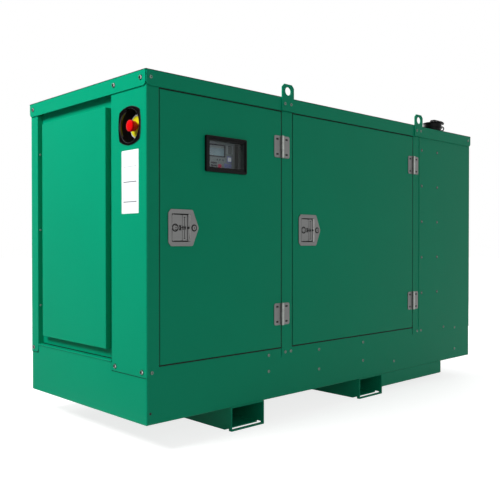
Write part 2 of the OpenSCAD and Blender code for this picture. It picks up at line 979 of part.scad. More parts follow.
// Pipe with the flap's clamp band, its two lugs with the pin, and the band's closing loop
module exhaust_outlet() {
    lug_y = strap_half + flap_gap;
    pin_z = mouth_z + flap_pin_z;
    color(colour_black) at_exhaust() {
        difference() {
            union() {
                translate([0, 0, pipe_bottom]) cylinder(d = exhaust_d, h = mouth_z - pipe_bottom);
                translate([0, 0, band_top - band_h])
                    cylinder(d = exhaust_d + 2 * band_t, h = band_h);
                for (y = [-lug_y - lug_t, lug_y])
                    block([exhaust_d / 2, y, band_top - band_h],
                          [flap_pin_x + lug_reach, y + lug_t, pin_z + lug_top]);
            }
            translate([0, 0, pipe_bottom - eps])
                cylinder(d = exhaust_d - 2 * exhaust_wall, h = mouth_z - pipe_bottom + 2 * eps);
        }
        translate([flap_pin_x, lug_y + lug_t, pin_z]) rotate([90, 0, 0])
            cylinder(r = pin_r, h = 2 * (lug_y + lug_t));
        rotate([0, 0, -loop_turn])
            translate([exhaust_d / 2 + band_t + loop_r - wire_r / 2, 0, mouth_z - loop_drop])
                rotate([90, 0, 0]) rotate_extrude() translate([loop_r, 0]) circle(wire_r);
    }
}

// Lid over the pipe's mouth, cut back before the lugs
module flap_lid() {
    lid_r = exhaust_d / 2 + flap_over;
    intersection() {
        translate([0, 0, flap_lift]) cylinder(r = lid_r, h = flap_t);
        block([-lid_r, -lid_r, 0], [exhaust_d / 2 - flap_gap, lid_r, flap_lift + flap_t + eps]);
    }
}

// Side of the hump, as a drawing in x and z
module hump() {
    tail_x = flap_pin_x + tail;
    low = flap_lift + flap_t - eps;
    translate([-strap_foot, low]) square([tail_x + strap_foot, strap_top - low]);
    translate([tail_x, strap_top - tail_r]) circle(tail_r);
}

// Lid with its hump
module rain_flap() {
    color(colour_black) at_exhaust() translate([0, 0, mouth_z]) difference() {
        union() {
            flap_lid();
            side_plate(-strap_half, strap_half) hump();
        }
        translate([flap_pin_x, strap_half + eps, flap_pin_z]) rotate([90, 0, 0])
            cylinder(r = pin_r + pin_clear, h = 2 * strap_half + 2 * eps);
    }
}

// --- Machinery inside ---------------------------------------------------------------------------

// Height of the shaft line over the floor
shaft_rise = 290;
shaft_z = floor_z + shaft_rise;

// Alternator: frame, end bell, terminal box and feet
alternator_x = opening_1_x + 274;
alternator_l = 400;
alternator_r = 195;
bell_l = 40;
bell_r = 155;
terminal_x = 90;
terminal_l = 240;
terminal_w = 240;
terminal_h = 110;
foot_w = 60;
foot_start = 80;
foot_end = 340;

// Engine: flywheel housing, block, pan, head, rocker cover, manifolds, filter, pulley and feet
engine_x = alternator_x + alternator_l;
engine_l = 650;
flywheel_l = 60;
flywheel_r = 200;
engine_half = 150;
block_bottom = 130;
block_top = 500;
head_half = 110;
head_top = 600;
cover_half = 80;
cover_top = 670;
pan_half = 120;
pan_bottom = 40;
filter_x = 320;
filter_r = 45;
filter_h = 130;
filter_z = 200;
pulley_l = 40;
pulley_r = 90;
mount_half = 40;
mount_y = 160;
mount_h = 240;

// Radiator: core, cowl and feet
radiator_x = engine_x + engine_l + 170;
radiator_w = 640;
radiator_h = 720;
radiator_t = 90;
cowl_l = 70;
cowl_r = 250;
cowl_t = 10;
core_cut = 20;
core_side = 50;
core_low = 110;
core_high = 90;
radiator_foot_h = 60;

// From the middle of the inlet end: x along the machine, y across from the centre line
module on_centre_line() {
    translate([-body_l / 2, 0, 0]) children();
}

// A cylinder on the shaft line, from x_low to x_high
module shaft_round(x_low, x_high, r) {
    translate([x_low, 0, shaft_z]) rotate([0, 90, 0]) cylinder(r = r, h = x_high - x_low);
}

module alternator() {
    x = alternator_x;
    top = shaft_z + alternator_r;
    color(colour_steel) on_centre_line() {
        shaft_round(x + bell_l, x + alternator_l, alternator_r);
        shaft_round(x, x + bell_l, bell_r);
        block([x + terminal_x, -terminal_w / 2, top - foot_w / 2],
              [x + terminal_x + terminal_l, terminal_w / 2, top - foot_w / 2 + terminal_h]);
        for (y = [foot_w / 2 - alternator_r, alternator_r - foot_w / 2])
            block([x + foot_start, y - foot_w / 2, floor_z],
                  [x + foot_end, y + foot_w / 2, shaft_z - foot_w]);
    }
}

// Part of the engine from start to end along it, centred, between two heights over the floor
module engine_block(start, end, half, low, high) {
    block([engine_x + start, -half, floor_z + low], [engine_x + end, half, floor_z + high]);
}

// Manifold along one side of the engine, from start to end, standing out past the block
module manifold(start, end, side, out, low, high) {
    y = side * (engine_half + out / 2);
    block([engine_x + start, y - out / 2, floor_z + low], [engine_x + end, y + out / 2, floor_z + high]);
}

module engine() {
    l = engine_l - pulley_l;
    step = 20;
    manifold_start = flywheel_l + 2.5 * step;
    color(colour_foam) on_centre_line() {
        shaft_round(engine_x, engine_x + flywheel_l, flywheel_r);
        engine_block(flywheel_l, l, engine_half, block_bottom, block_top);
        engine_block(flywheel_l + 3 * step, l - 4 * step, pan_half, pan_bottom, block_bottom);
        engine_block(flywheel_l + step, l - step, head_half, block_top, head_top);
        engine_block(flywheel_l + 2 * step, l - 2 * step, cover_half, head_top, cover_top);
        manifold(manifold_start, engine_l - manifold_start, -1, 40, 430, 520);
        manifold(manifold_start, engine_l - manifold_start, 1, 50, 400, 470);
        translate([engine_x + filter_x, -engine_half - 2 * step, floor_z + filter_z])
            cylinder(r = filter_r, h = filter_h);
        shaft_round(engine_x + l, engine_x + engine_l, pulley_r);
        for (x = [engine_x + 150, engine_x + engine_l - 190], y = [-mount_y, mount_y])
            block([x - mount_half, y - mount_half, floor_z],
                  [x + mount_half, y + mount_half, floor_z + mount_h]);
    }
}

module radiator() {
    x = radiator_x;
    half = radiator_w / 2;
    color(colour_steel) on_centre_line() {
        difference() {
            block([x, -half, floor_z], [x + radiator_t, half, floor_z + radiator_h]);
            block([x - eps, -half + core_side, floor_z + core_low],
                  [x + core_cut, half - core_side, floor_z + radiator_h - core_high]);
        }
        difference() {
            shaft_round(x - cowl_l, x + core_cut - eps, cowl_r);
            shaft_round(x - cowl_l - eps, x + core_cut, cowl_r - cowl_t);
        }
        for (y = [-half + core_cut, half - core_cut])
            block([x - cowl_l, y - core_cut / 2, floor_z], [x, y + core_cut / 2, floor_z + radiator_foot_h]);
    }
}

// --- The pieces ---------------------------------------------------------------------------------

base_rail_front();
base_rail_rear();
base_ends();
base_tank();
fork_channel_1();
fork_channel_2();
drop_sump();
corner_post_front();
corner_post_rear();
door_frame_front();
door_frame_rear();
side_panel_front();
side_panel_rear();
inlet_panel();
inlet_baffle();
outlet_panel();
outlet_baffle();
roof();
lifting_eyes();
control_door();
control_door_lining();
engine_door();
engine_door_lining();
rear_door_1();
rear_door_2();
hinge_post_leaves();
hinge_leaves_control_door();
hinge_leaves_engine_door();
hinges_rear();
latch_plate_control_door();
latch_paddle_control_door();
latch_plate_engine_door();
latch_paddle_engine_door();
latches_rear();
window_frame();
window_glass();
control_cabinet();
controller();
stop_cup();
stop_ring();
stop_button();
exhaust_outlet();
rain_flap();
alternator();
engine();
radiator();
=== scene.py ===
"""Looks of the enclosed diesel generator set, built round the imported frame.

Lengths are millimetres unless a name ends in _m. A face frame has u along the face, v up from the
ground and w out of the face. u starts at the inlet end on the long sides, and at the control side
on the ends.
"""

import json
import math
from types import SimpleNamespace

import bmesh
import bpy
from mathutils import Matrix, Vector


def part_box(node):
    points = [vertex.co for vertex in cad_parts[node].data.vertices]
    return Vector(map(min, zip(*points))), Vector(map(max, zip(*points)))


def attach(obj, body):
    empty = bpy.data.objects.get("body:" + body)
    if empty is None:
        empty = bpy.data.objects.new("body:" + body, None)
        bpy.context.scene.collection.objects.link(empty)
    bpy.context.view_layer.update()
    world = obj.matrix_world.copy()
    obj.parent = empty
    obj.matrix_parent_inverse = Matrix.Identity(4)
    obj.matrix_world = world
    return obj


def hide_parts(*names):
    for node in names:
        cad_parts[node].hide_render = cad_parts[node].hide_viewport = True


MM = 0.001
TURN = 2 * math.pi
SHARP = math.radians(28)

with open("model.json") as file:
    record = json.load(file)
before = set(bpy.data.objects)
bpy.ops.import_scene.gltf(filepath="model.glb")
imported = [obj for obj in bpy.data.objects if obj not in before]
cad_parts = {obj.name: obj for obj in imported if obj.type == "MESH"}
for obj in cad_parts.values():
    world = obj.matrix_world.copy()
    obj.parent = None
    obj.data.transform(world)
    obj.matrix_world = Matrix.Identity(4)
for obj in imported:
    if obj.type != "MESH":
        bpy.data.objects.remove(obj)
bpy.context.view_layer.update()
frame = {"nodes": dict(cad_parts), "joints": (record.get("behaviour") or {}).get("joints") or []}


# --- Places ---

def span(node):
    """A CAD node's box in millimetres: x0, x1, y0, y1, z0, z1."""
    low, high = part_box(node)
    return SimpleNamespace(x0=low.x / MM, x1=high.x / MM, y0=low.y / MM, y1=high.y / MM,
                           z0=low.z / MM, z1=high.z / MM)


def joint_place(name):
    """A joint's point in millimetres."""
    joint = next(j for j in frame["joints"] if j["name"] == name)
    return Vector(joint["pos_m"]) / MM


post = span("corner_post_front")
rear_post = span("corner_post_rear")
rail = span("base_rail_front")
panel = span("side_panel_front")
roof = span("roof")
doors = [span("control_door"), span("engine_door")]
recess = span("inlet_panel")
END_X, FACE_Y = post.x0, post.y0
LENGTH, WIDTH = -2 * END_X, -2 * FACE_Y
FOOT_Z, RAIL_Z, SKIRT_Z = post.z0, rail.z1, roof.z0
post_w, rear_post_w = post.y1 - post.y0, rear_post.y1 - rear_post.y0
SHEET = 2


def face(u, w):
    """Frame on a face through the inlet end's front corner at the ground."""
    m = Matrix((u, (0, 0, 1), w)).transposed().to_4x4()
    m.translation = (END_X, FACE_Y, 0)
    return m


FRONT = face((1, 0, 0), (0, -1, 0))
REAR = Matrix.Diagonal((1, -1, 1, 1)) @ FRONT
INLET = face((0, 1, 0), (-1, 0, 0))
OUTLET = Matrix.Diagonal((-1, 1, 1, 1)) @ INLET
ROW = Matrix.Identity(4)


def along(x):
    """u on a long side of a place given in the row frame."""
    return x - END_X


def moved(u=0, v=0, w=0):
    return Matrix.Translation((u, v, w))


def turned(axis, share=0.25):
    """A turn about an axis, as a share of a full one."""
    return Matrix.Rotation(TURN * share, 4, axis)


# --- Materials ---

def srgb(r, g, b):
    """Linear colour of an sRGB triple from 0 to 255."""
    return tuple(c / 255 / 12.92 if c <= 10 else ((c / 255 + 0.055) / 1.055) ** 2.4 for c in (r, g, b))


def node(tree, kind, inputs=(), **settings):
    """A shader node with its settings, and its inputs set or linked."""
    n = tree.nodes.new("ShaderNode" + kind)
    for key, value in settings.items():
        setattr(n, key, value)
    for key, value in dict(inputs).items():
        if isinstance(value, bpy.types.NodeSocket):
            tree.links.new(value, n.inputs[key])
        else:
            n.inputs[key].default_value = value
    return n


def texture(tree, size, stretch=(1, 1, 1), detail=3.0, cells=False):
    """Noise or cells in the object's own space, with features of about size."""
    space = node(tree, "TexCoord")
    spread = node(tree, "Mapping", {"Vector": space.outputs["Object"], "Scale": stretch})
    vector = {"Vector": spread.outputs["Vector"], "Scale": 1 / MM / size}
    if cells:
        return node(tree, "TexVoronoi", vector).outputs["Distance"]
    return node(tree, "TexNoise", {**vector, "Detail": detail}).outputs["Fac"]


def between(tree, value, low, high, start=0.3, end=0.7):
    """value from start..end onto low..high."""
    return node(tree, "MapRange", {"Value": value, "From Min": start, "From Max": end,
                                   "To Min": low, "To Max": high}).outputs["Result"]


def finish_of(name, colour, roughness, drift=(0.06, 300), grain=(0.1, 1.5), depth=0.05, metallic=0.0,
              specular=0.5, stretch=(1, 1, 1), cells=False, gloss_spread=0.06, **sockets):
    """A material. drift is how far its colour varies and over what size. grain is the strength and size of
    its bumps, and depth their height."""
    m = bpy.data.materials.new(name)
    m.use_nodes = True
    tree = m.node_tree
    shader = tree.nodes["Principled BSDF"]
    shader.inputs["Metallic"].default_value = metallic
    shader.inputs["Specular IOR Level"].default_value = specular
    for key, value in sockets.items():
        shader.inputs[key.replace("_", " ")].default_value = value
    tone = between(tree, texture(tree, drift[1], stretch), 1 - drift[0], 1 + drift[0])
    mixed = node(tree, "Mix", {"Factor": 1.0, 6: (*colour, 1), 7: tone}, data_type="RGBA",
                 blend_type="MULTIPLY")
    fine = texture(tree, grain[1], stretch, 2.0, cells)
    gloss = between(tree, fine, roughness - gloss_spread, roughness + gloss_spread)
    bump = node(tree, "Bump", {"Strength": grain[0], "Distance": depth * MM, "Height": fine})
    for key, value in (("Base Color", mixed.outputs[2]), ("Roughness", gloss), ("Normal", bump.outputs[0])):
        tree.links.new(value, shader.inputs[key])
    return m


def metal(name, colour, roughness, drift=(0.12, 15), grain=(0.1, 0.8), **more):
    return finish_of(name, colour, roughness, drift, grain, metallic=1.0, **more)


# Sheet metal, screws, hinges and latches
PAINT = finish_of("green_powder_coat", (0.0, 0.300, 0.157), 0.5, (0.02, 420), (0.2, 2.2), 0.06,
                  specular=0.13)
# A darker copy of the green paint for the base tank. It paints the shade under the base and inside the fork
# pockets.
PAINT_DARKENED_FOR_SHADE = finish_of("green_powder_coat_darkened_for_shade", (0.0, 0.17, 0.089), 0.6, (0.08, 200), (0.22, 2.2), 0.06,
                        specular=0.13)
STEEL = metal("stainless_steel", (0.17, 0.172, 0.17), 0.44, (0.05, 60), (0.12, 0.7), depth=0.04,
              stretch=(0.12, 1, 1.6))
# Bright zinc. On the latch dishes' right walls it also paints a highlight.
BRIGHT = metal("bright_zinc", (0.46, 0.46, 0.45), 0.32)
# Zinc made darker and greener than BRIGHT. It paints the shade on the screws and rivets of the long sides
# and inside the machine.
SHADED_ZINC = metal("zinc_darkened_for_shade", (0.11, 0.17, 0.14), 0.34)
# Dark steel for real dark parts. It is also used to paint shade in screw sockets, hinge slots and latch
# dishes, and round end screws and rivets.
DARK_STEEL = metal("dark_steel", (0.05, 0.05, 0.05), 0.5, (0.1, 20))
# Steel made lighter than the leaves' STEEL. It paints the highlight on the hinge barrels.
BARREL_HIGHLIGHT = metal("hinge_barrel_lightened_for_highlight", (0.27, 0.285, 0.27), 0.36, (0.05, 40))

# Plastics, rubber and foam
# Black plastic. Behind the latch paddles, in a small paddle hole and in the lock keyways it also paints
# shade.
PLASTIC = finish_of("black_plastic", (0.004, 0.004, 0.0042), 0.44, (0.1, 60), (0.15, 0.6), specular=0.1)
CUP_PLASTIC = finish_of("black_gloss_plastic", (0.003, 0.0025, 0.0028), 0.16, (0.1, 60), (0.03, 1.5),
                        specular=0.6)
CUP_INSIDE = finish_of("black_matt_plastic", (0.0015, 0.001, 0.0012), 0.6, (0.1, 60), (0.1, 1.0),
                       specular=0.1)
RED = finish_of("red_plastic", srgb(220, 2, 8), 0.28, (0.03, 40), (0.04, 1.5))
YELLOW = finish_of("yellow_plastic", srgb(216, 210, 26), 0.4, (0.03, 40), (0.04, 1.5))
# Black rubber of seals and mounts. At the posts' feet and in the door gaps it also paints shade.
RUBBER = finish_of("black_rubber", (0.008, 0.009, 0.008), 0.75, (0.15, 80), (0.3, 0.8), specular=0.3)
FOAM = finish_of("acoustic_foam", (0.014, 0.0145, 0.015), 0.95, (0.25, 120), (0.9, 2.6), 1.2, specular=0.1,
                 cells=True)

# Window, controller and label
GLASS = finish_of("window_glass", (0.93, 0.96, 0.95), 0.04, (0.01, 300), (0.01, 1.5), gloss_spread=0.01,
                  IOR=1.2, Transmission_Weight=1.0)
CONTROL_GREY = finish_of("controller_grey", srgb(106, 116, 119), 0.5, (0.03, 50), (0.15, 0.5))
CABINET = finish_of("cabinet_paint", srgb(46, 56, 53), 0.55, (0.05, 300), (0.3, 1.6))
NAVY = finish_of("display_bezel", srgb(14, 16, 34), 0.4, (0.03, 300), (0.05, 1.5))
LCD = finish_of("display", srgb(112, 134, 144), 0.2, (0.10, 45), (0.02, 1.5))
# White of the controller keys. Round the stop's yellow disc it also paints a highlight.
KEY_WHITE = finish_of("key_white", srgb(206, 210, 214), 0.45, (0.03, 300))
KEY_BLUE = finish_of("key_blue", srgb(96, 104, 156), 0.45, (0.03, 300))
KEY_RED = finish_of("key_red", srgb(168, 26, 66), 0.4, (0.03, 300))
LABEL = finish_of("label_film", srgb(246, 247, 249), 0.45, (0.01, 40), (0.03, 3), specular=0.3)
PRINT_GREY = finish_of("label_grey", srgb(176, 180, 184), 0.5, (0.02, 300), (0.02, 1.5))
PRINT_DARK = finish_of("label_dark_grey", srgb(96, 102, 108), 0.5, (0.02, 300), (0.02, 1.5))

# Exhaust and machinery
BLACK_PAINT = finish_of("black_heat_paint", (0.0018, 0.0018, 0.002), 0.42, (0.2, 40), (0.3, 1.1), 0.1,
                        specular=0.1)
MACHINE_GREY = finish_of("machinery_grey", srgb(112, 116, 116), 0.45, (0.08, 90), (0.35, 3), 0.2)
MACHINE_BLACK = finish_of("machinery_black", (0.018, 0.018, 0.019), 0.5, (0.15, 90), (0.55, 3.5), 0.3)
ALUMINIUM = metal("cast_aluminium", (0.42, 0.43, 0.43), 0.5, (0.1, 50), (0.6, 1.6), depth=0.15)


# --- Shapes ---

def arc(u, v, r, start, end, steps):
    """Points on an arc, with angles in degrees."""
    turn = [math.radians(start + (end - start) * k / steps) for k in range(steps + 1)]
    return [(u + r * math.cos(a), v + r * math.sin(a)) for a in turn]


def ring(u, v, r, steps=24):
    return arc(u, v, r, 0, 360 - 360 / steps, steps - 1)


def round_rect(u0, u1, v0, v1, r, steps=5):
    return (arc(u1 - r, v1 - r, r, 0, 90, steps) + arc(u0 + r, v1 - r, r, 90, 180, steps)
            + arc(u0 + r, v0 + r, r, 180, 270, steps) + arc(u1 - r, v0 + r, r, 270, 360, steps))


def placed(name, data):
    """A new object in the scene."""
    thing = bpy.data.objects.new(name, data)
    bpy.context.scene.collection.objects.link(thing)
    return thing


def skin(solid, rings, closed=False):
    """Faces from each ring of points to the next. A ring may be a single point."""
    for low, high in zip(rings, rings[1:] + (rings[:1] if closed else [])):
        count = max(len(low), len(high))
        for k in range(count):
            j = (k + 1) % count
            loop = [low[k % len(low)], low[j % len(low)], high[j % len(high)], high[k % len(high)]]
            solid.faces.new(list(dict.fromkeys(loop)))


def smooth_mesh(bm, mesh):
    """Writes bm into mesh, smooth but for its sharp edges."""
    for f in bm.faces:
        f.smooth = True
    for e in bm.edges:
        e.smooth = not (e.is_manifold and e.calc_face_angle() > math.radians(40))
    bm.to_mesh(mesh)
    bm.free()


def add_piece(name, mesh, body, replaced=()):
    """The mesh as a piece that rides on a body and may stand for CAD nodes."""
    piece = placed(name, mesh)
    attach(piece, body)
    if replaced:
        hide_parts(*replaced)
    return piece


def even_normals(piece):
    even = piece.modifiers.new("even_normals", "WEIGHTED_NORMAL")
    even.keep_sharp, even.weight = True, 80


class Shape:
    """A mesh in millimetres, made solid by solid in the current frame and material."""

    def __init__(self, material):
        self.bm = bmesh.new()
        self.materials = [material]
        self.index = 0
        self.frame = ROW

    def use(self, material):
        if material not in self.materials:
            self.materials.append(material)
        self.index = self.materials.index(material)
        return self

    def at(self, place, u=0, v=0, w=0):
        self.frame = place @ moved(u, v, w)
        return self

    def take(self, solid, bevel=0.0, segments=2):
        """Adds a closed solid, its edges rounded by bevel."""
        bmesh.ops.recalc_face_normals(solid, faces=solid.faces[:])
        if bevel:
            edges = [e for e in solid.edges if e.is_manifold and e.calc_face_angle() > SHARP]
            bmesh.ops.bevel(solid, geom=edges, offset=bevel, offset_type="OFFSET", segments=segments,
                            profile=0.5, affect="EDGES", clamp_overlap=True)
        solid.transform(self.frame)
        if self.frame.determinant() < 0:
            bmesh.ops.reverse_faces(solid, faces=solid.faces[:])
        for f in solid.faces:
            f.material_index = self.index
        mesh = bpy.data.meshes.new("solid")
        solid.to_mesh(mesh)
        solid.free()
        self.bm.from_mesh(mesh)
        bpy.data.meshes.remove(mesh)
        return self

    def prism(self, outline, w0, w1, bevel=0.4, segments=2):
        """An outline in u and v, raised from w0 to w1."""
        solid = bmesh.new()
        low, high = ([solid.verts.new((u, v, w)) for u, v in outline] for w in (w0, w1))
        solid.faces.new(low[::-1])
        solid.faces.new(high)
        skin(solid, [low, high])
        return self.take(solid, bevel, segments)

    def box(self, u0, u1, v0, v1, w0, w1, bevel=0.4, segments=2):
        return self.prism([(u0, v0), (u1, v0), (u1, v1), (u0, v1)], w0, w1, bevel, segments)

    def plate(self, outlines, w0, w1, bevel=0.5):
        """A plate whose first outline is its edge and whose others are holes."""
        curve = bpy.data.curves.new("plate", "CURVE")
        curve.dimensions = "2D"
        curve.fill_mode = "BOTH"
        curve.extrude = (w1 - w0) / 2 - bevel
        curve.bevel_depth = bevel
        curve.bevel_resolution = 1
        curve.offset = -bevel
        for outline in outlines:
            spline = curve.splines.new("POLY")
            spline.points.add(len(outline) - 1)
            for point, (u, v) in zip(spline.points, outline):
                point.co = (u, v, 0, 1)
            spline.use_cyclic_u = True
        holder = placed("plate", curve)
        bpy.context.view_layer.update()
        drawn = holder.evaluated_get(bpy.context.evaluated_depsgraph_get())
        mesh = bpy.data.meshes.new_from_object(drawn)
        bpy.data.objects.remove(holder)
        bpy.data.curves.remove(curve)
        solid = bmesh.new()
        solid.from_mesh(mesh)
        bpy.data.meshes.remove(mesh)
        bmesh.ops.remove_doubles(solid, verts=solid.verts[:], dist=1e-3)
        bmesh.ops.translate(solid, verts=solid.verts[:], vec=(0, 0, (w0 + w1) / 2))
        return self.take(solid)

    def panel(self, u0, u1, v0, v1, r, w0, w1, bevel):
        """A plate with rounded corners."""
        return self.plate([round_rect(u0, u1, v0, v1, r)], w0, w1, bevel)

    def lathe(self, profile, steps=32, bevel=0.0, sides=0):
        """A profile of (r, w) turned about w. Radii under 0 are flats of that many sides, such as a
        hexagon socket."""
        solid = bmesh.new()
        closed = profile[0] == profile[-1] and profile[0][0] != 0
        rings = []
        for r, w in profile[:-1] if closed else profile:
            loop = []
            for k in range(steps if r else 1):
                a = TURN * k / steps
                reach = r if r >= 0 else -r / math.cos(a % (TURN / sides) - TURN / sides / 2)
                loop.append(solid.verts.new((reach * math.cos(a), reach * math.sin(a), w)))
            rings.append(loop)
        skin(solid, rings, closed)
        if not closed:
            for loop in (rings[0], rings[-1]):
                if len(loop) > 2:
                    solid.faces.new(loop)
        return self.take(solid, bevel)

    def loft(self, loops):
        """A skin through (outline, w) loops of equal count, from the last back to the first."""
        solid = bmesh.new()
        skin(solid, [[solid.verts.new((u, v, w)) for u, v in outline] for outline, w in loops], closed=True)
        return self.take(solid)

    def rod(self, r, w0, w1, bevel=0.4, steps=32):
        return self.lathe([(r, w0), (r, w1)], steps, bevel)

    def tube(self, path, r, steps=12, closed=False):
        """A round bar along a path of points."""
        solid = bmesh.new()
        points = [Vector(p) for p in path]
        count = len(points)
        side = None
        rings = []
        for k, point in enumerate(points):
            ahead = points[(k + 1) % count] if closed or k + 1 < count else point
            behind = points[k - 1] if closed or k else point
            way = (ahead - behind).normalized()
            side = side or way.orthogonal()
            side = (side - way * side.dot(way)).normalized()
            other = way.cross(side)
            rings.append([solid.verts.new(point + r * (math.cos(TURN * j / steps) * side
                                                       + math.sin(TURN * j / steps) * other))
                          for j in range(steps)])
        skin(solid, rings, closed)
        if not closed:
            solid.faces.new(rings[0][::-1])
            solid.faces.new(rings[-1])
        return self.take(solid)

    def make(self, name, body, slot, *replaced):
        self.bm.transform(Matrix.Diagonal((MM, MM, MM, 1)))
        mesh = bpy.data.meshes.new(name)
        smooth_mesh(self.bm, mesh)
        for material in self.materials:
            mesh.materials.append(material)
        piece = add_piece(name, mesh, body, replaced)
        even_normals(piece)

    def shaped(self, cad_node, body, slot):
        """Makes the piece that stands for a CAD node."""
        self.make(cad_node + "_shaped", body, slot, cad_node)


def narrowness(f):
    """About the width of a long thin face, in millimetres."""
    return 2 * f.calc_area() / sum(e.calc_length() for e in f.edges) / MM


def hold_inside(piece, low, high):
    """Applies the piece's modifiers and keeps its points inside a box."""
    rounded = piece.evaluated_get(bpy.context.evaluated_depsgraph_get())
    solid = bpy.data.meshes.new_from_object(rounded)
    for v in solid.vertices:
        v.co = [min(max(c, a), b) for c, a, b in zip(v.co, low, high)]
    piece.modifiers.clear()
    piece.data = solid


def softened(cad_node, material, body, fold=2.0, cut=0.35, thin=4.6):
    """Copy of a CAD node with its folds rounded and its cut edges eased, which stands for it."""
    bm = bmesh.new()
    bm.from_mesh(frame["nodes"][cad_node].data)
    bmesh.ops.remove_doubles(bm, verts=bm.verts[:], dist=0.01 * MM)
    bmesh.ops.dissolve_limit(bm, angle_limit=math.radians(1), verts=bm.verts[:], edges=bm.edges[:])
    weight = bm.edges.layers.float.new("bevel_weight_edge")
    for e in bm.edges:
        if e.is_manifold and e.calc_face_angle() > SHARP:
            narrow = min(narrowness(f) for f in e.link_faces) < thin
            e[weight] = cut / fold if narrow else 1.0
    mesh = bpy.data.meshes.new(cad_node)
    smooth_mesh(bm, mesh)
    for e in mesh.edges:
        e.use_edge_sharp = False
    mesh.materials.append(material)
    piece = add_piece(cad_node + "_sheet", mesh, body, (cad_node,))
    rounding = piece.modifiers.new("rounding", "BEVEL")
    rounding.limit_method = "WEIGHT"
    rounding.width = fold * MM
    rounding.segments = 3
    rounding.use_clamp_overlap = False
    hold_inside(piece, *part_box(cad_node))
    even_normals(piece)


# --- Sheet metal of the housing ---

SHEETS = [
    ("base_rail_front", 3.0), ("base_rail_rear", 3.0), ("base_ends", 2.5), ("drop_sump", 2.5),
    ("corner_post_front", 2.0), ("corner_post_rear", 2.0), ("door_frame_front", 1.6),
    ("door_frame_rear", 1.6), ("side_panel_front", 2.0), ("side_panel_rear", 2.0),
    ("inlet_panel", 1.0), ("outlet_panel", 1.0), ("inlet_baffle", 1.6), ("outlet_baffle", 1.6),
    ("roof", 2.5), ("lifting_eyes", 1.0), ("rear_door_1", 2.2), ("rear_door_2", 2.2),
]
for cad_node, fold in SHEETS:
    softened(cad_node, PAINT, "housing", fold)
for cad_node, paint in (("fork_channel_1", PAINT), ("fork_channel_2", PAINT), ("base_tank", PAINT_DARKENED_FOR_SHADE)):
    softened(cad_node, paint, "housing", thin=6)
for door_name in ("control_door", "engine_door"):
    softened(door_name, PAINT, door_name, 2.2)


# --- Screws and rivets ---

SCREW = [(-2.2, 1.2), (-2.2, 3.3), (3.6, 3.5), (5.6, 3.0), (6.8, 1.8), (7.2, 0.4), (7.2, -0.5), (3.0, -0.5),
         (-2.2, 1.2)]
# A dark disc under each socket, which paints the shade in the socket.
SOCKET_SHADE = [(0, 1.3), (3.2, 1.3), (3.2, 0.2), (0, 0.2)]
# Dark washer under each end screw, which paints the screw's shadow.
END_SHADOW_WASHER = [(0, -0.4), (9.8, -0.4), (9.8, 0.6), (9.4, 0.9), (0, 0.9)]
# Dark ring round each rivet on the side panels, which paints its shadow.
RIVET_SHADOW_RING = [(0, -0.5), (8.4, -0.5), (8.4, 0.3), (8.0, 0.6), (0, 0.6)]
RIVET_HEAD = [(0, 3.4), (3.0, 3.0), (5.0, 1.6), (5.6, 0.3), (5.6, -0.4), (0, -0.4)]
HOLLOW_RIVET = [(1.6, 1.3), (1.9, 2.1), (3.6, 2.0), (5.0, 1.1), (5.4, 0.0), (5.4, -0.5), (1.4, -0.5),
                (1.6, 1.3)]


def screw(shape, place, u, v, w=0.0, material=SHADED_ZINC, size=1.0, tall=1.0):
    """Button-head screw with a hexagon socket, and a dark disc as the socket's floor that paints the shade
    in it.
    """
    shape.use(material).at(place @ moved(u, v, w) @ Matrix.Diagonal((size, size, tall, 1)))
    shape.lathe(SCREW, 24, sides=6)
    shape.use(DARK_STEEL).lathe(SOCKET_SHADE, 12)


def rivet(shape, place, u, v):
    # The dark ring under the head paints the rivet's shadow.
    shape.use(DARK_STEEL).at(place, u, v).lathe(RIVET_SHADOW_RING, 24)
    shape.use(SHADED_ZINC).lathe(RIVET_HEAD, 20)


post_gap, eye_w, eye_out = 5, 75, 5
centre_post_u, end_post_u = (along(door.x1) + post_gap for door in doors)
panel_u = along(panel.x0)
lap_v = FOOT_Z + 18
rail_v = FOOT_Z + 4
skirt_v, skirt_out = SKIRT_Z + 31, post.x0 - roof.x0
eyes = span("lifting_eyes")
eye_us = [along(eyes.x0) + eye_w / 2, along(eyes.x1) - eye_w / 2]


def side_fasteners(place, name):
    """Screws and rivets of one long side."""
    s = Shape(BRIGHT)
    for u in (24, centre_post_u + 22, centre_post_u + 57, end_post_u + 41, panel_u + 22, panel_u + 254):
        screw(s, place, u, lap_v)
    for u, v, drop in ((centre_post_u - 79, rail_v + 10, 69), (centre_post_u + 249, rail_v, 90),
                       (centre_post_u + 581, rail_v, 90), (LENGTH - 166, rail_v, 123)):
        screw(s, place, u, v, -SHEET)
        screw(s, place, u, v - drop, -SHEET)
    screw(s, place, centre_post_u + 844, rail.z0 + 53, -SHEET)
    for u in (17, LENGTH - 28):
        screw(s, place, u, skirt_v, skirt_out)
    for u in eye_us:
        for step in (-19, 19):
            screw(s, place, u + step, skirt_v, skirt_out + eye_out)
    for u in (panel_u + 28, panel_u + 184):
        for v in range(1272, 400, -194):
            rivet(s, place, u, v)
    # A dark ring and a black rubber disc stand for a small hole near the rail's end. The black paints the
    # shade inside the hole.
    s.use(DARK_STEEL).at(place, 18, rail.z0 + 42, -SHEET)
    s.lathe([(5, -1), (5, 0.4), (3.6, 0.4), (3.6, -1), (5, -1)], 24, 0.2)
    s.use(RUBBER).rod(3.6, -1, 0.2, 0.1, 24)
    s.make(name, "housing", "stainless_steel")


def panel_seams():
    """Raised lap edge where each side panel meets the door frame."""
    s = Shape(PAINT)
    for side in (FRONT, REAR):
        s.at(side).panel(panel_u - 0.5, panel_u + 3.5, RAIL_Z + 2, SKIRT_Z - 1, 0.5, 0, 2.0, 0.9)
    s.make("panel_seams", "housing", "green_paint")


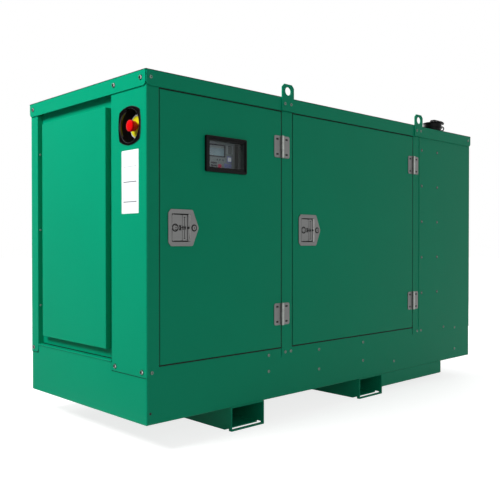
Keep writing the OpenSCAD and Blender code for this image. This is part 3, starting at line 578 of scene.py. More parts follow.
def end_fasteners(place, name, wide_u):
    """Screws of one end, with dark washers that paint their shadows, and the rivets inside its recess."""
    s = Shape(SHADED_ZINC)
    for us, v, w in (((29, wide_u - 25, WIDTH - 22), lap_v + 1, 0),
                     ((28, wide_u - 27, WIDTH - 30), skirt_v, skirt_out)):
        for u in us:
            screw(s, place, u, v, w, BRIGHT, 1.14, 1.7)
            # A dark washer round each end screw paints its shadow.
            s.use(DARK_STEEL).at(place, u, v, w).lathe(END_SHADOW_WASHER, 24)
    for v in (1167, 827, 486):
        s.use(BRIGHT).at(place @ moved(WIDTH - rear_post_w, v, -13) @ turned("Y", -0.25))
        s.lathe(HOLLOW_RIVET, 20)
    s.make(name, "housing", "stainless_steel")


side_fasteners(FRONT, "front_screws")
side_fasteners(REAR, "rear_screws")
panel_seams()
end_fasteners(INLET, "inlet_end_screws", post_w)
end_fasteners(OUTLET, "discharge_end_screws", panel.y1 - panel.y0)


# --- Hinges ---

hinge_h, hinge_reach, leaf_t, barrel_r, knuckles = 95, 48, 3, 7, 3
hinge_box = span("hinge_leaves_control_door")
hinge_vs = (hinge_box.z0 + hinge_h / 2, hinge_box.z1 - hinge_h / 2)
pins = [joint_place("control_door_hinge"), joint_place("engine_door_hinge")]
pin_out = FACE_Y - pins[0].y
screw_vs = (-32.5, 32.5)
SLOT_SCREW = [(-1.9, -2.3), (-1.9, -1.0), (3.0, -0.8), (3.6, -1.5), (3.6, -2.3), (-1.9, -2.3)]

# Each leaf has its side, +1 on the post and -1 on the door, and the knuckles that it holds.
POST_LEAF, DOOR_LEAF = (1, (0, 2)), (-1, (1,))


def hinge_leaf(s, place, side, own):
    """One leaf with its knuckles, and its screws in their slots. The knuckles are in a lighter steel that
    paints a highlight, and each slot's dark floor paints its shade.
    """
    half, edge_u, r = hinge_h / 2, 2, 9
    edge = ([(edge_u, -half)] + arc(hinge_reach - r, -half + r, r, 270, 360, 6)
            + arc(hinge_reach - r, half - r, r, 0, 90, 6) + [(edge_u, half)])
    slots = [round_rect(21, 36, v - 4, v + 4, 4) for v in screw_vs]
    leaf_at = place @ Matrix.Diagonal((side, 1, 1, 1))
    s.use(STEEL).at(leaf_at).plate([edge] + slots, 0, leaf_t, 0.6)
    step = hinge_h / knuckles
    for k in own:
        low = -half + k * step + 0.5
        s.at(leaf_at).box(edge_u, 9, low, low + step - 1, leaf_t - 1, 7, 0.5)
        # The knuckles use the lighter barrel steel, which paints their highlight.
        s.use(BARREL_HIGHLIGHT).at(place @ moved(0, low, pin_out) @ turned("X", -0.25))
        s.lathe([(3.1, 0), (barrel_r, 0), (barrel_r, step - 1), (3.1, step - 1), (3.1, 0)], 32, 0.5)
        s.use(STEEL)
    # Each slot gets a dark floor that paints the shade in it, and a dark screw.
    for v in screw_vs:
        s.use(DARK_STEEL).at(leaf_at, 28.5, v, leaf_t)
        s.prism(round_rect(-7.4, 7.4, -3.9, 3.9, 3.9), -2.9, -2.2, 0.1)
        s.lathe(SLOT_SCREW, 24, sides=6)


def hinge_pin(s, place):
    s.use(BRIGHT).at(place @ moved(0, -hinge_h / 2, pin_out) @ turned("X", -0.25))
    s.lathe([(0, -1.5), (2.2, -1.2), (2.9, -0.3), (2.9, 0.2), (2.9, hinge_h - 0.2), (2.9, hinge_h + 0.3),
             (2.2, hinge_h + 1.2), (0, hinge_h + 1.5)], 20)


def hinges(cad_node, body, side, at_pins, leaves):
    """The upper and lower hinge leaves at some pins, with a pin in each post leaf."""
    s = Shape(STEEL)
    for pin in at_pins:
        for v in hinge_vs:
            place = side @ moved(along(pin.x), v)
            for leaf in leaves:
                hinge_leaf(s, place, *leaf)
            if POST_LEAF in leaves:
                hinge_pin(s, place)
    s.shaped(cad_node, body, "stainless_steel")


hinges("hinge_post_leaves", "housing", FRONT, pins, [POST_LEAF])
hinges("hinge_leaves_control_door", "control_door", FRONT, pins[:1], [DOOR_LEAF])
hinges("hinge_leaves_engine_door", "engine_door", FRONT, pins[1:], [DOOR_LEAF])
hinges("hinges_rear", "housing", REAR, pins, [POST_LEAF, DOOR_LEAF])


# --- Door latches ---

plate_w, plate_h, nose, rim = 112, 140, 34, 4
dish = SimpleNamespace(u0=17, u1=104, half=53, depth=18, wall=1.5)
paddle = SimpleNamespace(pin_u=26.5, u0=18.2, u1=99, half=49, top=3, t=3)
latch_plates = [span("latch_plate_control_door"), span("latch_plate_engine_door")]
latch_us = [along(p.x0) for p in latch_plates]
latch_v = (latch_plates[0].z0 + latch_plates[0].z1) / 2


def dish_outline(out, r):
    """The dish's outline grown by out."""
    return round_rect(dish.u0 - out, dish.u1 + out, -dish.half - out, dish.half + out, r)


def latch_plate(s, place):
    """Plate with its dish, pressed border and the lock in its nose."""
    half, cut = plate_h / 2, 13
    edge = [(cut, half), (3, half - cut + 3), (0, half - cut - 2), (0, -half + cut + 2),
            (3, -half + cut - 3), (cut, -half)]
    edge += arc(plate_w, -half + 8, 8, 270, 330, 3) + arc(plate_w + nose - 13, 0, 13, -27, 27, 6)
    edge += arc(plate_w, half - 8, 8, 30, 90, 3)
    lock_u = 123.5
    s.use(STEEL).at(place).plate([edge, dish_outline(0, 4), ring(lock_u, 0, 13.4, 28)], 0.2, rim, 1.5)
    wall = dish_outline(dish.wall, 5)
    # The dish's walls and floor are a dark copy of the plate's steel, which paints the shade inside the
    # dish.
    s.use(DARK_STEEL).plate([wall, dish_outline(0.1, 4)], -dish.depth - dish.wall, 1.5, 0.3)
    s.prism(wall, -dish.depth - dish.wall, -dish.depth, 0.2)
    # A bright strip on the dish's right wall paints a highlight there.
    s.use(BRIGHT).at(place @ moved(0, -dish.half + 1, 0) @ turned("X", -0.25))
    s.prism([(dish.u1 - 3.6, 2.5), (dish.u1 + 0.6, -rim + 0.4), (dish.u1 + 0.6, 2.5)], 0, 2 * dish.half - 2,
            0.3)
    s.use(PLASTIC).at(place, lock_u)
    s.lathe([(0, 0.4), (13.2, 0.4), (13.2, rim - 0.7), (0, rim - 0.7)], 32, 0.2)
    s.use(STEEL).rod(9.0, 0.2, rim + 1.2, 0.8, 28)
    # A black bar on the lock paints the shade in its keyway.
    s.use(PLASTIC).box(-1.1, 1.1, -4.6, 4.6, 4.8, rim + 1.35, 0.05)


def latch_paddle(s, place):
    """Paddle in two leaves with its knuckle and pin, grip grooves, raised marks and lock cylinder."""
    half, low, top = paddle.half, paddle.top - paddle.t, paddle.top
    lock_u, lock_r = 33, 16.0
    grooves = [round_rect(76.2, 78.4, -half + 9, half - 9, 0.8),
               round_rect(89.6, 92.6, -half + 3, half - 3, 1.2)]
    s.use(STEEL).at(place)
    s.plate([round_rect(paddle.u0, 59.5, -half, half, 3), ring(lock_u, 0, lock_r, 36)], low, top, 0.6)
    s.plate([round_rect(68, paddle.u1, -half, half, 3)] + grooves, low, top, 0.6)
    s.box(58, 69, -half + 1, half - 1, low, top - 1.2, 0.2)
    # Black plastic behind the paddle shows through its groove slots and paints the shade in the grooves.
    s.use(PLASTIC).box(paddle.u0 + 6, paddle.u1 - 2, -half + 1, half - 1, -1.6, 0.4, 0.2)
    for u, reach in ((77.3, half - 9), (91.1, half - 3)):
        for v in (-reach, reach):
            s.box(u - 3.2, u + 3.2, v - 1.5, v + 1.5, top - 0.4, top + 0.35, 0.2)
    mark_top = top + 0.5
    s.box(63, 84, -2.2, 2.2, low, mark_top, 0.3)
    for tilt in (-1, 1):
        bar = [(50, -10 * tilt), (54.5, -10 * tilt), (62, 10 * tilt), (57.5, 10 * tilt)]
        s.prism(bar[::tilt], low, mark_top, 0.2)
    for v in (-5.6, 5.6):
        s.box(67, 75, v - 1.2, v + 1.2, low, mark_top, 0.2)
    s.box(80.5, 83, -7, 7, low, mark_top, 0.2)
    # A black disc stands for a small hole near the paddle's end and paints its shade.
    s.at(place, 95).lathe([(0, 0.4), (5.0, 0.4), (5.0, top + 0.7), (0, top + 0.7)], 20, 0.4)
    cylinder_r, cylinder_w = lock_r - 0.2, top - 0.4
    s.at(place, lock_u)
    s.lathe([(0, -6), (cylinder_r, -6), (cylinder_r, cylinder_w), (0, cylinder_w)], 36, 0.3)
    s.use(STEEL).rod(lock_r - 5.2, 0, top + 1.0, 0.8, 28)
    s.use(PLASTIC)
    for u0, u1, v in ((-3, 9.6, 7.6), (-1, 7, 0), (-3, 9.6, -7.6)):
        s.box(u0, u1, v - 1.1, v + 1.1, top, top + 1.2, 0.05)
    s.use(STEEL).at(place @ moved(paddle.pin_u, -half, -1.5) @ turned("X", -0.25))
    s.rod(2.4, -2, 2 * half + 2, 0.2, 16)


for u, kind in zip(latch_us, ("control", "engine")):
    for build, part, body in ((latch_plate, "plate", "door"), (latch_paddle, "paddle", "latch")):
        s = Shape(STEEL)
        build(s, FRONT @ moved(u, latch_v))
        s.shaped("latch_%s_%s_door" % (part, kind), kind + "_" + body, "stainless_steel")
s = Shape(STEEL)
for u in latch_us:
    latch_plate(s, REAR @ moved(u, latch_v))
    latch_paddle(s, REAR @ moved(u, latch_v))
s.shaped("latches_rear", "housing", "stainless_steel")


# --- Window and controller ---

window = span("window_frame")
bar, proud, sleeve_back = 14, 12, 6
window_u, window_v = along((window.x0 + window.x1) / 2), (window.z0 + window.z1) / 2
half_w, half_h = (window.x1 - window.x0) / 2 - bar, (window.z1 - window.z0) / 2 - bar
window_at = FRONT @ moved(window_u, window_v)


def sight(out, r=3):
    """Outline of the window's opening, grown by out."""
    return round_rect(-half_w - out, half_w + out, -half_h - out, half_h + out, r)


def window_frame():
    """Stepped frame, its sleeve through the door, the liner behind the pane and the bead on it."""
    s = Shape(PLASTIC).at(window_at)
    s.plate([sight(bar, 6), sight(5)], 0.1, proud, 2.2)
    s.plate([sight(5), sight(0)], 0.1, proud - 4, 1.2)
    s.plate([sight(3), sight(0)], -sleeve_back, 0.5, 0.3)
    s.use(CABINET).plate([sight(1.6), sight(0.1, 2)], -30, -4.2, 0.4)
    s.plate([sight(0.2), sight(-1, 2)], -30, proud - 4.6, 0.3)
    bead = round_rect(-half_w + 6, half_w - 0.6, -half_h + 5, half_h - 4, 2)
    s.use(PLASTIC).plate([sight(0.1), bead], -0.3, proud - 4.3, 0.8)
    s.shaped("window_frame", "control_door", "black_plastic")


window_frame()
s = Shape(GLASS).at(window_at)
s.box(-half_w + 0.3, half_w - 0.3, -half_h + 0.3, half_h - 0.3, -3.9, -0.4, 0.3)
s.make("window_pane", "control_door", "window_glass", "window_glass")

unit = span("controller")
unit_w, unit_h = unit.x1 - unit.x0, unit.z1 - unit.z0
unit_v = (unit.z0 + unit.z1) / 2 - window_v
unit_back = FACE_Y - unit.y1
face_w = unit_back + (unit.y1 - unit.y0) - 3

# Material, corner radius, low and high over the controller's face, rounding, and the outlines
KEYS = [
    (KEY_BLUE, 3, 0.6, 1.8, 0.4, [(-45, -20, -18, 9)]),
    (KEY_WHITE, 2, 1.2, 3.4, 0.8, [(-41, -23, -13, 4)]),
    (KEY_RED, 5, 0.6, 3, 0.9, [(-95, -76, -42, -27)]),
    (KEY_BLUE, 4, 0.6, 3, 0.9, [(u, u + 18, -41, -22) for u in (-60, -39)]),
    (NAVY, 1.5, 0.6, 1.4, 0.2, [(u, u + 6, -13, -7) for u in (-101, -86, -70)]),
    (NAVY, 1, 0.6, 1.6, 0.3, [(-132, -101, v, v + 7) for v in (-27, -38)]),
    (PRINT_GREY, 1, 0.6, 1.2, 0.1, [(-45, -42.5, 19, 52)]),
    (NAVY, 1, 0.6, 1.2, 0.1, [(-40, -22, 22 + 9 * k, 24.4 + 9 * k) for k in range(4)]),
]


def controller():
    """The control panel seen through the window: display, keys and a row of lamps."""
    desk = FRONT @ moved(along(unit.x1), window_v, face_w)
    low_v, high_v = unit_v - unit_h / 2, unit_v + unit_h / 2
    s = Shape(CONTROL_GREY).at(desk)
    s.panel(-unit_w, 0, low_v, high_v, 7, unit_back - face_w, 0, 1.4)
    s.panel(-unit_w + 9, -9, low_v + 9, high_v - 9, 5, -1, 0.8, 0.5)
    u0, u1, v0, v1 = -200, -55, 1.5, 53
    bezel, inside = round_rect(u0, u1, v0, v1, 4), round_rect(u0 + 5, u1 - 5, v0 + 5, v1 - 5, 2)
    s.use(NAVY).plate([bezel, inside], 0, 3, 0.6)
    s.use(CONTROL_GREY).plate([inside], 0.6, 1.2, 0.1)
    s.use(LCD).panel(u0 + 12, u1 - 7, v0 + 5, v1 - 15, 1, 1.1, 1.8, 0.1)
    for material, r, low, high, bevel, keys in KEYS:
        for key in keys:
            s.use(material).panel(*key, r, low, high, bevel)
    for k in range(4):
        s.use(KEY_WHITE).at(desk, -14, 23.2 + 9 * k).rod(1.6, 0.5, 1.6, 0.3, 14)
    s.make("controller_face", "housing", "controller_grey", "controller")


def cabinet_front():
    """The cabinet's front sheet, cut out for the controller."""
    cabinet = span("control_cabinet")
    door_w, flange = cabinet.x1 - cabinet.x0, 46
    top_v, low_v = cabinet.z1, cabinet.z1 - (unit_h + 90)
    sheet_at = FRONT @ moved(along(cabinet.x0), 0, FACE_Y - cabinet.y0)
    cut = round_rect(unit.x0 - cabinet.x0 + 4, unit.x1 - cabinet.x0 - 4, unit.z0 + 4, unit.z1 - 4, 4)
    s = Shape(CABINET).at(sheet_at)
    s.plate([round_rect(6, door_w + flange, low_v + 6, top_v - 6, 5), cut], 0.2, 2.4, 0.8)
    for u in (16, door_w - 16):
        for v in (low_v + 18, top_v - 18):
            screw(s, sheet_at, u, v, 2.4)
    s.make("cabinet_front", "housing", "dark_grey_paint")


controller()
softened("control_cabinet", CABINET, "housing", 3.0)
cabinet_front()


# --- Emergency stop and label ---

cup, disc, head = span("stop_cup"), span("stop_ring"), span("stop_button")
cup_half, cup_floor = (cup.z1 - cup.z0) / 2, END_X - disc.x1
stop_at = INLET @ moved((cup.y0 + cup.y1) / 2 - FACE_Y, (cup.z0 + cup.z1) / 2)


def bowed_square(inset, steps=96):
    """The rim's outline: four bowed sides and eased corners, drawn in by inset."""
    outline = []
    for k in range(steps):
        a = TURN * k / steps
        reach = cup_half * 1.165
        for bow_r, way in ((235, abs(math.cos(a))), (130, abs(math.sin(a)))):
            back = (bow_r - cup_half) * way
            reach = min(reach, math.sqrt(bow_r ** 2 - (bow_r - cup_half) ** 2 + back ** 2) - back)
        reach *= 1 - inset / cup_half
        outline.append((reach * math.cos(a), reach * math.sin(a)))
    return outline


def stop_cup():
    """Glossy rim over a matt cup."""
    rim_steps = ((3, 0.1), (0.3, 0.1), (0, 0.8), (0, 1.9), (0.8, 3.1), (2.2, 3.9))
    lip = ((66.2, 4.0), (64.7, 3.6), (63.4, 2.4), (62.7, 0.6), (62.5, -1.6), (62.5, -6), (65.4, -6.6),
           (65.4, 0.1))
    s = Shape(CUP_PLASTIC).at(stop_at)
    s.loft([(bowed_square(inset), w) for inset, w in rim_steps] + [(ring(0, 0, r, 96), w) for r, w in lip])
    s.use(CUP_INSIDE).lathe(
        [(69.6, 0), (64.6, -4.2), (64.2, -12), (63.4, -22), (60.5, -29), (55, -33), (46, cup_floor),
         (10.6, cup_floor), (10.6, cup_floor - 4), (60, cup_floor - 4), (69.6, -24), (69.6, 0)], 96)
    s.shaped("stop_cup", "housing", "black_plastic")


def stop_ring():
    """Yellow disc with a raised collar, and a pale band round its edge that paints the highlight on that
    edge.
    """
    r = (disc.z1 - disc.z0) / 2
    s = Shape(YELLOW).at(stop_at, 0, 0, cup_floor)
    s.lathe([(10.6, 0.1), (r - 2.4, 0.1), (r - 2.4, 1.8), (r - 3.2, 2.9), (24, 3.0), (22.6, 4.0),
             (13.5, 4.0), (13, 3), (10.6, 3), (10.6, 0.1)], 64)
    # The pale band paints the highlight on the rounded edge round the yellow disc.
    s.use(KEY_WHITE)
    s.lathe([(r - 2.2, 0.1), (r + 2.6, 0.1), (r + 2.6, 1.8), (r - 2.2, 3.6), (r - 2.2, 0.1)], 64)
    s.shaped("stop_ring", "housing", "yellow_plastic")


def stop_button():
    """Mushroom head on its stem."""
    r, top, stem_end = (head.z1 - head.z0) / 2 - 1, END_X - head.x0, END_X - head.x1
    s = Shape(RED).at(stop_at, 0, 0, top)
    s.lathe([(0, -0.1), (9, -0.2), (15, -0.7), (19, -1.7), (21.4, -3.4), (r, -5.6), (r, -12.4),
             (r - 0.7, -14.4), (r - 2.0, -15.6), (r - 3.4, -16), (r - 3.0, -18), (r - 2.0, -18.8),
             (r - 2.0, -25.6), (r - 3.0, -27), (9.8, -27), (9.8, stem_end - top), (0, stem_end - top)], 64)
    s.shaped("stop_button", "stop_button", "red_plastic")


def plain_label():
    """White label with two ruled lines and an empty box."""
    u0, u1, v0, v1, margin = 48, 160, 878, 1115, 14
    thin_v, box_top, box_low = (v1 - share * (v1 - v0) for share in (0.26, 0.50, 0.82))
    line_u0, line_u1 = u0 + margin, u1 - margin
    s = Shape(LABEL).at(INLET)
    s.panel(u0, u1, v0, v1, 3, 0.05, 0.75, 0.25)
    s.use(PRINT_GREY).box(line_u0, line_u1, thin_v - 0.9, thin_v + 0.9, 0.5, 0.9, 0.1)
    s.plate([round_rect(line_u0, line_u1, box_low, box_top, 2),
             round_rect(line_u0 + 1.8, line_u1 - 1.8, box_low + 3, box_top - 2, 1)], 0.5, 0.9, 0.1)
    s.use(PRINT_DARK).box(line_u0, line_u1, box_top - 1.4, box_top + 1.4, 0.5, 0.95, 0.1)
    s.box(line_u0, line_u1, box_low - 0.4, box_low + 2.2, 0.5, 0.95, 0.1)
    s.make("plain_label", "housing", None)


stop_cup()
stop_ring()
stop_button()
plain_label()


# --- Exhaust and rain flap ---

flap_pin = joint_place("rain_flap_hinge")
outlet = span("exhaust_outlet")
pipe_r, pin_up = (outlet.y1 - outlet.y0) / 2 - 4, 12
pin_reach = pipe_r + 12
pipe_at = moved(flap_pin.x - pin_reach, flap_pin.y)
mouth = flap_pin.z - pin_up


def crosswise(shape, x, z):
    """Sets the frame to x along the machine, y up and z across it, towards the control side."""
    return shape.at(pipe_at @ moved(x, 0, z) @ turned("X"))


def collar(shape, z, profile):
    """Turns a profile of (distance out from the pipe, height over z) about the pipe."""
    shape.at(pipe_at, 0, 0, z).lathe([(pipe_r + out, w) for out, w in profile + profile[:1]], 96)


def exhaust_outlet():
    """Pipe with its clamp band, roof flange, hinge lugs and pin, clamp bolt and wire loop."""
    s = Shape(BLACK_PAINT)
    pipe_foot, band_h, flange_low = outlet.z0 - mouth, 22, roof.z1 - 1.5
    collar(s, mouth, [(0, pipe_foot), (0, -1.0), (-0.5, -0.2), (-1.4, 0), (-2.4, -0.2), (-3, -1.0),
                      (-3, pipe_foot)])
    collar(s, mouth - 26, [(-0.5, 0), (3, 0), (4, 1.2), (4, band_h - 1.2), (3, band_h), (-0.5, band_h)])
    collar(s, flange_low, [(-0.5, 0), (9, 0), (9, 2.9), (8, 3.7), (3, 3.9), (1.2, 5.5), (-0.5, 6.5)])
    lug = ([(pipe_r, -26), (pin_reach - 2, -26), (pin_reach + 6, -14)]
           + arc(pin_reach, pin_up, 6, 0, 180, 10) + [(pipe_r, pin_up - 8)])
    for w0 in (-19, 13):
        crosswise(s, 0, mouth).prism(lug, w0, w0 + 6, 0.7)
    crosswise(s, pin_reach, mouth + pin_up).lathe(
        [(0, -22.5), (4.6, -22.5), (5.2, -21.5), (5.2, -19.2), (3, -19.2), (3, 19.2), (5.2, 19.2),
         (5.2, 21.5), (4.6, 22.5), (0, 22.5)], 24)
    crosswise(s, pin_reach + 1, mouth - 20).lathe(
        [(0, -25), (-4.6, -25), (-4.6, -20.6), (3, -20.6), (3, 20.6), (-4.6, 20.6), (-4.6, 25), (0, 25)],
        24, 0.4, sides=6)
    loop_r, wire_r, loop_turn = 11.5, 3.4, -27 / 360
    loop_x = pipe_r + 4 + loop_r - wire_r / 2
    s.at(pipe_at @ turned("Z", loop_turn) @ moved(loop_x, 0, mouth - 26) @ turned("X"))
    s.tube([(x, y, 0) for x, y in ring(0, 0, loop_r, 40)], wire_r, 14, closed=True)
    s.shaped("exhaust_outlet", "housing", "black_paint")


def rain_flap():
    """Lid with a stiffening disc, its humped counterweight arm and the hinge barrel."""
    lid_r, lid_low, hump_half, hump_top, tail_x = pipe_r + 7, 0.3, 12, 23, pin_reach + 46
    lid_cut = math.degrees(math.acos((pipe_r - 1) / lid_r))
    nose_line = [(tail_x - 27 + 27 * math.sin(TURN * k / 40), 12 + 11 * math.cos(TURN * k / 40))
                 for k in range(11)]
    chin_line = [(tail_x - 7.5 + 7.5 * math.cos(TURN * k / 24), 12 - 7.7 * math.sin(TURN * k / 24))
                 for k in range(1, 7)]
    arm = ([(-15, 2.6), (-14.4, 6)] + arc(3, hump_top - 12, 12, 150, 90, 6) + nose_line + chin_line
           + [(pipe_r - 2, 4.3), (pipe_r - 6, 2.6)])
    s = Shape(BLACK_PAINT).at(pipe_at, 0, 0, mouth)
    s.prism(arc(0, 0, lid_r, lid_cut, 360 - lid_cut, 72), lid_low, lid_low + 2.6, 0.6)
    s.prism(arc(0, 0, lid_r - 9, 60, 300, 48), lid_low + 2.2, lid_low + 4.0, 0.8)
    crosswise(s, 0, mouth).prism(arm, -hump_half, hump_half, 1.4, 3)
    crosswise(s, pin_reach, mouth + pin_up).lathe(
        [(3.1, -hump_half - 0.9), (6.4, -hump_half - 0.9), (7, -hump_half), (7, hump_half),
         (6.4, hump_half + 0.9), (3.1, hump_half + 0.9), (3.1, -hump_half - 0.9)], 32)
    s.shaped("rain_flap", "rain_flap", "black_paint")


exhaust_outlet()
rain_flap()


# --- Seals and linings ---

door_t, flange_w, lining_back, wall_back = 30, 35, 24, 22
WASHER = [(0, 0.2), (15, 0.2), (17.4, -0.6), (18.6, -0.2), (17.6, 0.9), (14.6, 1.4), (6, 1.8), (4.2, 1.4),
          (3.8, 3.2), (0, 3.6)]
ROOF_WASHER = [(0, 0.2), (15, 0.2), (17.6, 0.9), (6, 1.8), (3.8, 3.2), (0, 3.6)]
INWARDS = Matrix.Diagonal((1, 1, -1, 1))


def door_opening(door, out, r):
    """Outline of a door grown by out."""
    return round_rect(along(door.x0) - out, along(door.x1) + out, door.z0 - out, door.z1 + out, r)


def door_seals(side, name):
    """Lip, bulb and gap strip round each door of a side. The gap strip is a rubber seal that also paints the
    shade in the gap black.
    """
    s = Shape(RUBBER).at(side)
    for door in doors:
        for out, out_r, hole, hole_r, w0, w1, bevel in (
                (3.2, 8, -5.6, 5, -flange_w, -flange_w + 1.6, 0.4),
                (1.6, 8, -4.0, 5, -flange_w + 1.2, -door_t - 0.4, 1.4),
                # the gap strip: black rubber set inside the door gap, a seal that also paints the gap's
                # shade
                (5, 1, 1.6, 1, -6, -2, 0.6)):
            s.plate([door_opening(door, out, out_r), door_opening(door, hole, hole_r)], w0, w1, bevel)
    s.make(name, "housing", "acoustic_foam")


def end_seams():
    """Black strips at the posts' feet that paint the shadow under their edges, rubber under each recess, and
    the lip of the base's end plates.
    """
    s, lips = Shape(RUBBER), Shape(PAINT)
    base_end = span("base_ends")
    lip_w, recess_w = END_X - base_end.x0, END_X - recess.x0
    for end, wide in ((INLET, post_w), (OUTLET, rear_post_w)):
        u0, u1 = wide + 2, WIDTH - rear_post_w - 2
        lips.at(end).box(u0, u1, base_end.z1 - 6, base_end.z1, lip_w - 0.5, lip_w + 3.5, 1.8, 3)
        # Black strips under the posts' feet paint the shadow that their edges cast.
        for foot_u0, foot_u1 in ((4, wide), (WIDTH - rear_post_w, WIDTH - 4)):
            s.at(end).box(foot_u0, foot_u1, FOOT_Z - 2.2, FOOT_Z + 0.2, -SHEET, -0.5, 0.4)
        s.box(u0, u1, recess.z0 - 0.2, recess.z0 + 3, recess_w, recess_w + 2.6, 0.6)
    s.make("foot_shadow_strips_and_recess_seals", "housing", "acoustic_foam")
    lips.make("base_end_lips", "housing", "green_paint")


def spread(low, high, count, inset=90):
    step = (high - low - 2 * inset) / (count - 1)
    return [low + inset + k * step for k in range(count)]


def washer_grid(s, place, us, vs, w, skip=(), profile=WASHER):
    """Washers and stud heads that hold a lining, facing into the machine, except in the skipped zones."""
    for u in us:
        for v in vs:
            if not any(a < u < b and c < v < d for a, b, c, d in skip):
                s.use(BRIGHT).at(place @ moved(u, v, w) @ INWARDS).lathe(profile, 24)


def door_washers(s, side, door, zones):
    """The washers on one door's lining."""
    columns = 4 if door is doors[0] else 5
    washer_grid(s, side, spread(along(door.x0), along(door.x1), columns), spread(door.z0, door.z1, 5),
                -lining_back, zones)


def housing_linings():
    """Foam on the rear doors, side panels, roof and ends, with its washers."""
    s, washers = Shape(FOAM), Shape(BRIGHT)
    for door in doors:
        s.at(REAR).plate([door_opening(door, -2.3, 3)], -lining_back, -2.1, 3)
        door_washers(washers, REAR, door, dish_zones)
    u0, u1, top, roof_w = panel_u + 42, LENGTH - 30, roof.z1 - 30, roof.z1 - 24
    for side in (FRONT, REAR):
        s.at(side).panel(u0, u1, RAIL_Z + 6, top, 3, -wall_back, -2.2, 3)
        washer_grid(washers, side, spread(u0, u1, 3), spread(RAIL_Z, roof.z1, 5), -wall_back)
    s.at(ROW).plate([round_rect(END_X + 30, -END_X - 30, FACE_Y + 42, -FACE_Y - 42, 3),
                     ring(flap_pin.x - pin_reach, flap_pin.y, pipe_r + 16, 40)], roof_w, roof.z1 - 3, 3)
    washer_grid(washers, ROW, spread(END_X, -END_X, 8, 160), (-280, 0, 280), roof_w, profile=ROOF_WASHER)
    gap, u1 = 82, WIDTH - 64
    for end, u0 in ((INLET, post_w), (OUTLET, 64)):
        hole = round_rect(u0 + gap, u1 - gap, RAIL_Z + gap, SKIRT_Z - gap, 3)
        s.at(end).plate([round_rect(u0 + 4, u1 - 4, RAIL_Z + 4, top, 3), hole], -47, -27.2, 3)
    s.make("housing_linings", "housing", "acoustic_foam")
    washers.make("housing_lining_washers", "housing", "stainless_steel")


door_seals(FRONT, "door_seals_front")
door_seals(REAR, "door_seals_rear")
end_seams()
dish_zones = [(u - 10, u + 130, latch_v - 90, latch_v + 90) for u in latch_us]
zone_w, zone_h = half_w + 45, half_h + 45
window_zone = (window_u - zone_w, window_u + zone_w, window_v - zone_h, window_v + zone_h)
for door_name, door, zones in (("control_door", doors[0], [dish_zones[0], window_zone]),
                               ("engine_door", doors[1], dish_zones[1:])):
    softened(door_name + "_lining", FOAM, door_name, 4.0, thin=1)
    s = Shape(BRIGHT)
    door_washers(s, FRONT, door, zones)
    s.make(door_name + "_lining_washers", door_name, "stainless_steel")
housing_linings()


# --- Machinery inside ---

floor_z = span("alternator").z0
shaft_h = 290


def machine(material, cad_node):
    """A shape with its place: x from the machine's inlet end, y across and z over the floor."""
    place = moved(span(cad_node).x0, 0, floor_z)
    return Shape(material).at(place), place


def on_shaft(place, x=0):
    """Frame at x on the shaft line, with w towards the discharge end."""
    return place @ moved(x, 0, shaft_h) @ turned("Y")


def cap_screws(shape, place, r, count, w, size=7):
    """A circle of hexagon heads round w."""
    shape.use(DARK_STEEL)
    for k in range(count):
        a = TURN * (k + 0.5) / count
        shape.at(place, r * math.cos(a), r * math.sin(a), w).rod(size, -1, size, 0.8, 6)


def alternator():
    s, base = machine(MACHINE_GREY, "alternator")
    shaft = on_shaft(base)
    s.at(shaft).lathe([(0, 6), (70, 4), (120, 6), (148, 14), (155, 26), (155, 44), (0, 44)], 64)
    ribs = [(r * math.cos(TURN * (k + share) / 48), r * math.sin(TURN * (k + share) / 48))
            for k in range(48) for r, share in ((183, 0.15), (193, 0.3), (193, 0.6), (183, 0.75))]
    s.prism(ribs, 50, 390, 0)
    for w0, w1 in ((40, 64), (376, 400)):
        s.lathe([(150, w0), (191, w0), (195, w0 + 4), (195, w1 - 4), (191, w1), (150, w1), (150, w0)], 96)
    box_top = shaft_h + 275
    s.at(base).box(90, 330, -120, 120, shaft_h + 165, box_top - 13, 5, 3)
    s.box(86, 334, -124, 124, box_top - 13, box_top, 3)
    for y in (-165, 165):
        s.use(MACHINE_GREY).at(base).box(80, 340, y - 30, y + 30, 0, 16, 2)
        for x in (95, 300):
            s.box(x, x + 26, y - 26, y + 26, 14, shaft_h - 60, 3)
        cap_screws(s, base @ moved(210, y, 16), 42, 2, 0, 10)
    s.use(RUBBER)
    for k in range(12):
        s.at(shaft @ turned("Z", k / 12)).box(82, 124, -9, 9, 2, 7, 1)
    cap_screws(s, shaft, 176, 8, 40)
    for x in (100, 320):
        for y in (-110, 110):
            cap_screws(s, base @ moved(x, y, box_top), 0, 1, 0, 5)
    s.shaped("alternator", "housing", "machinery_grey")


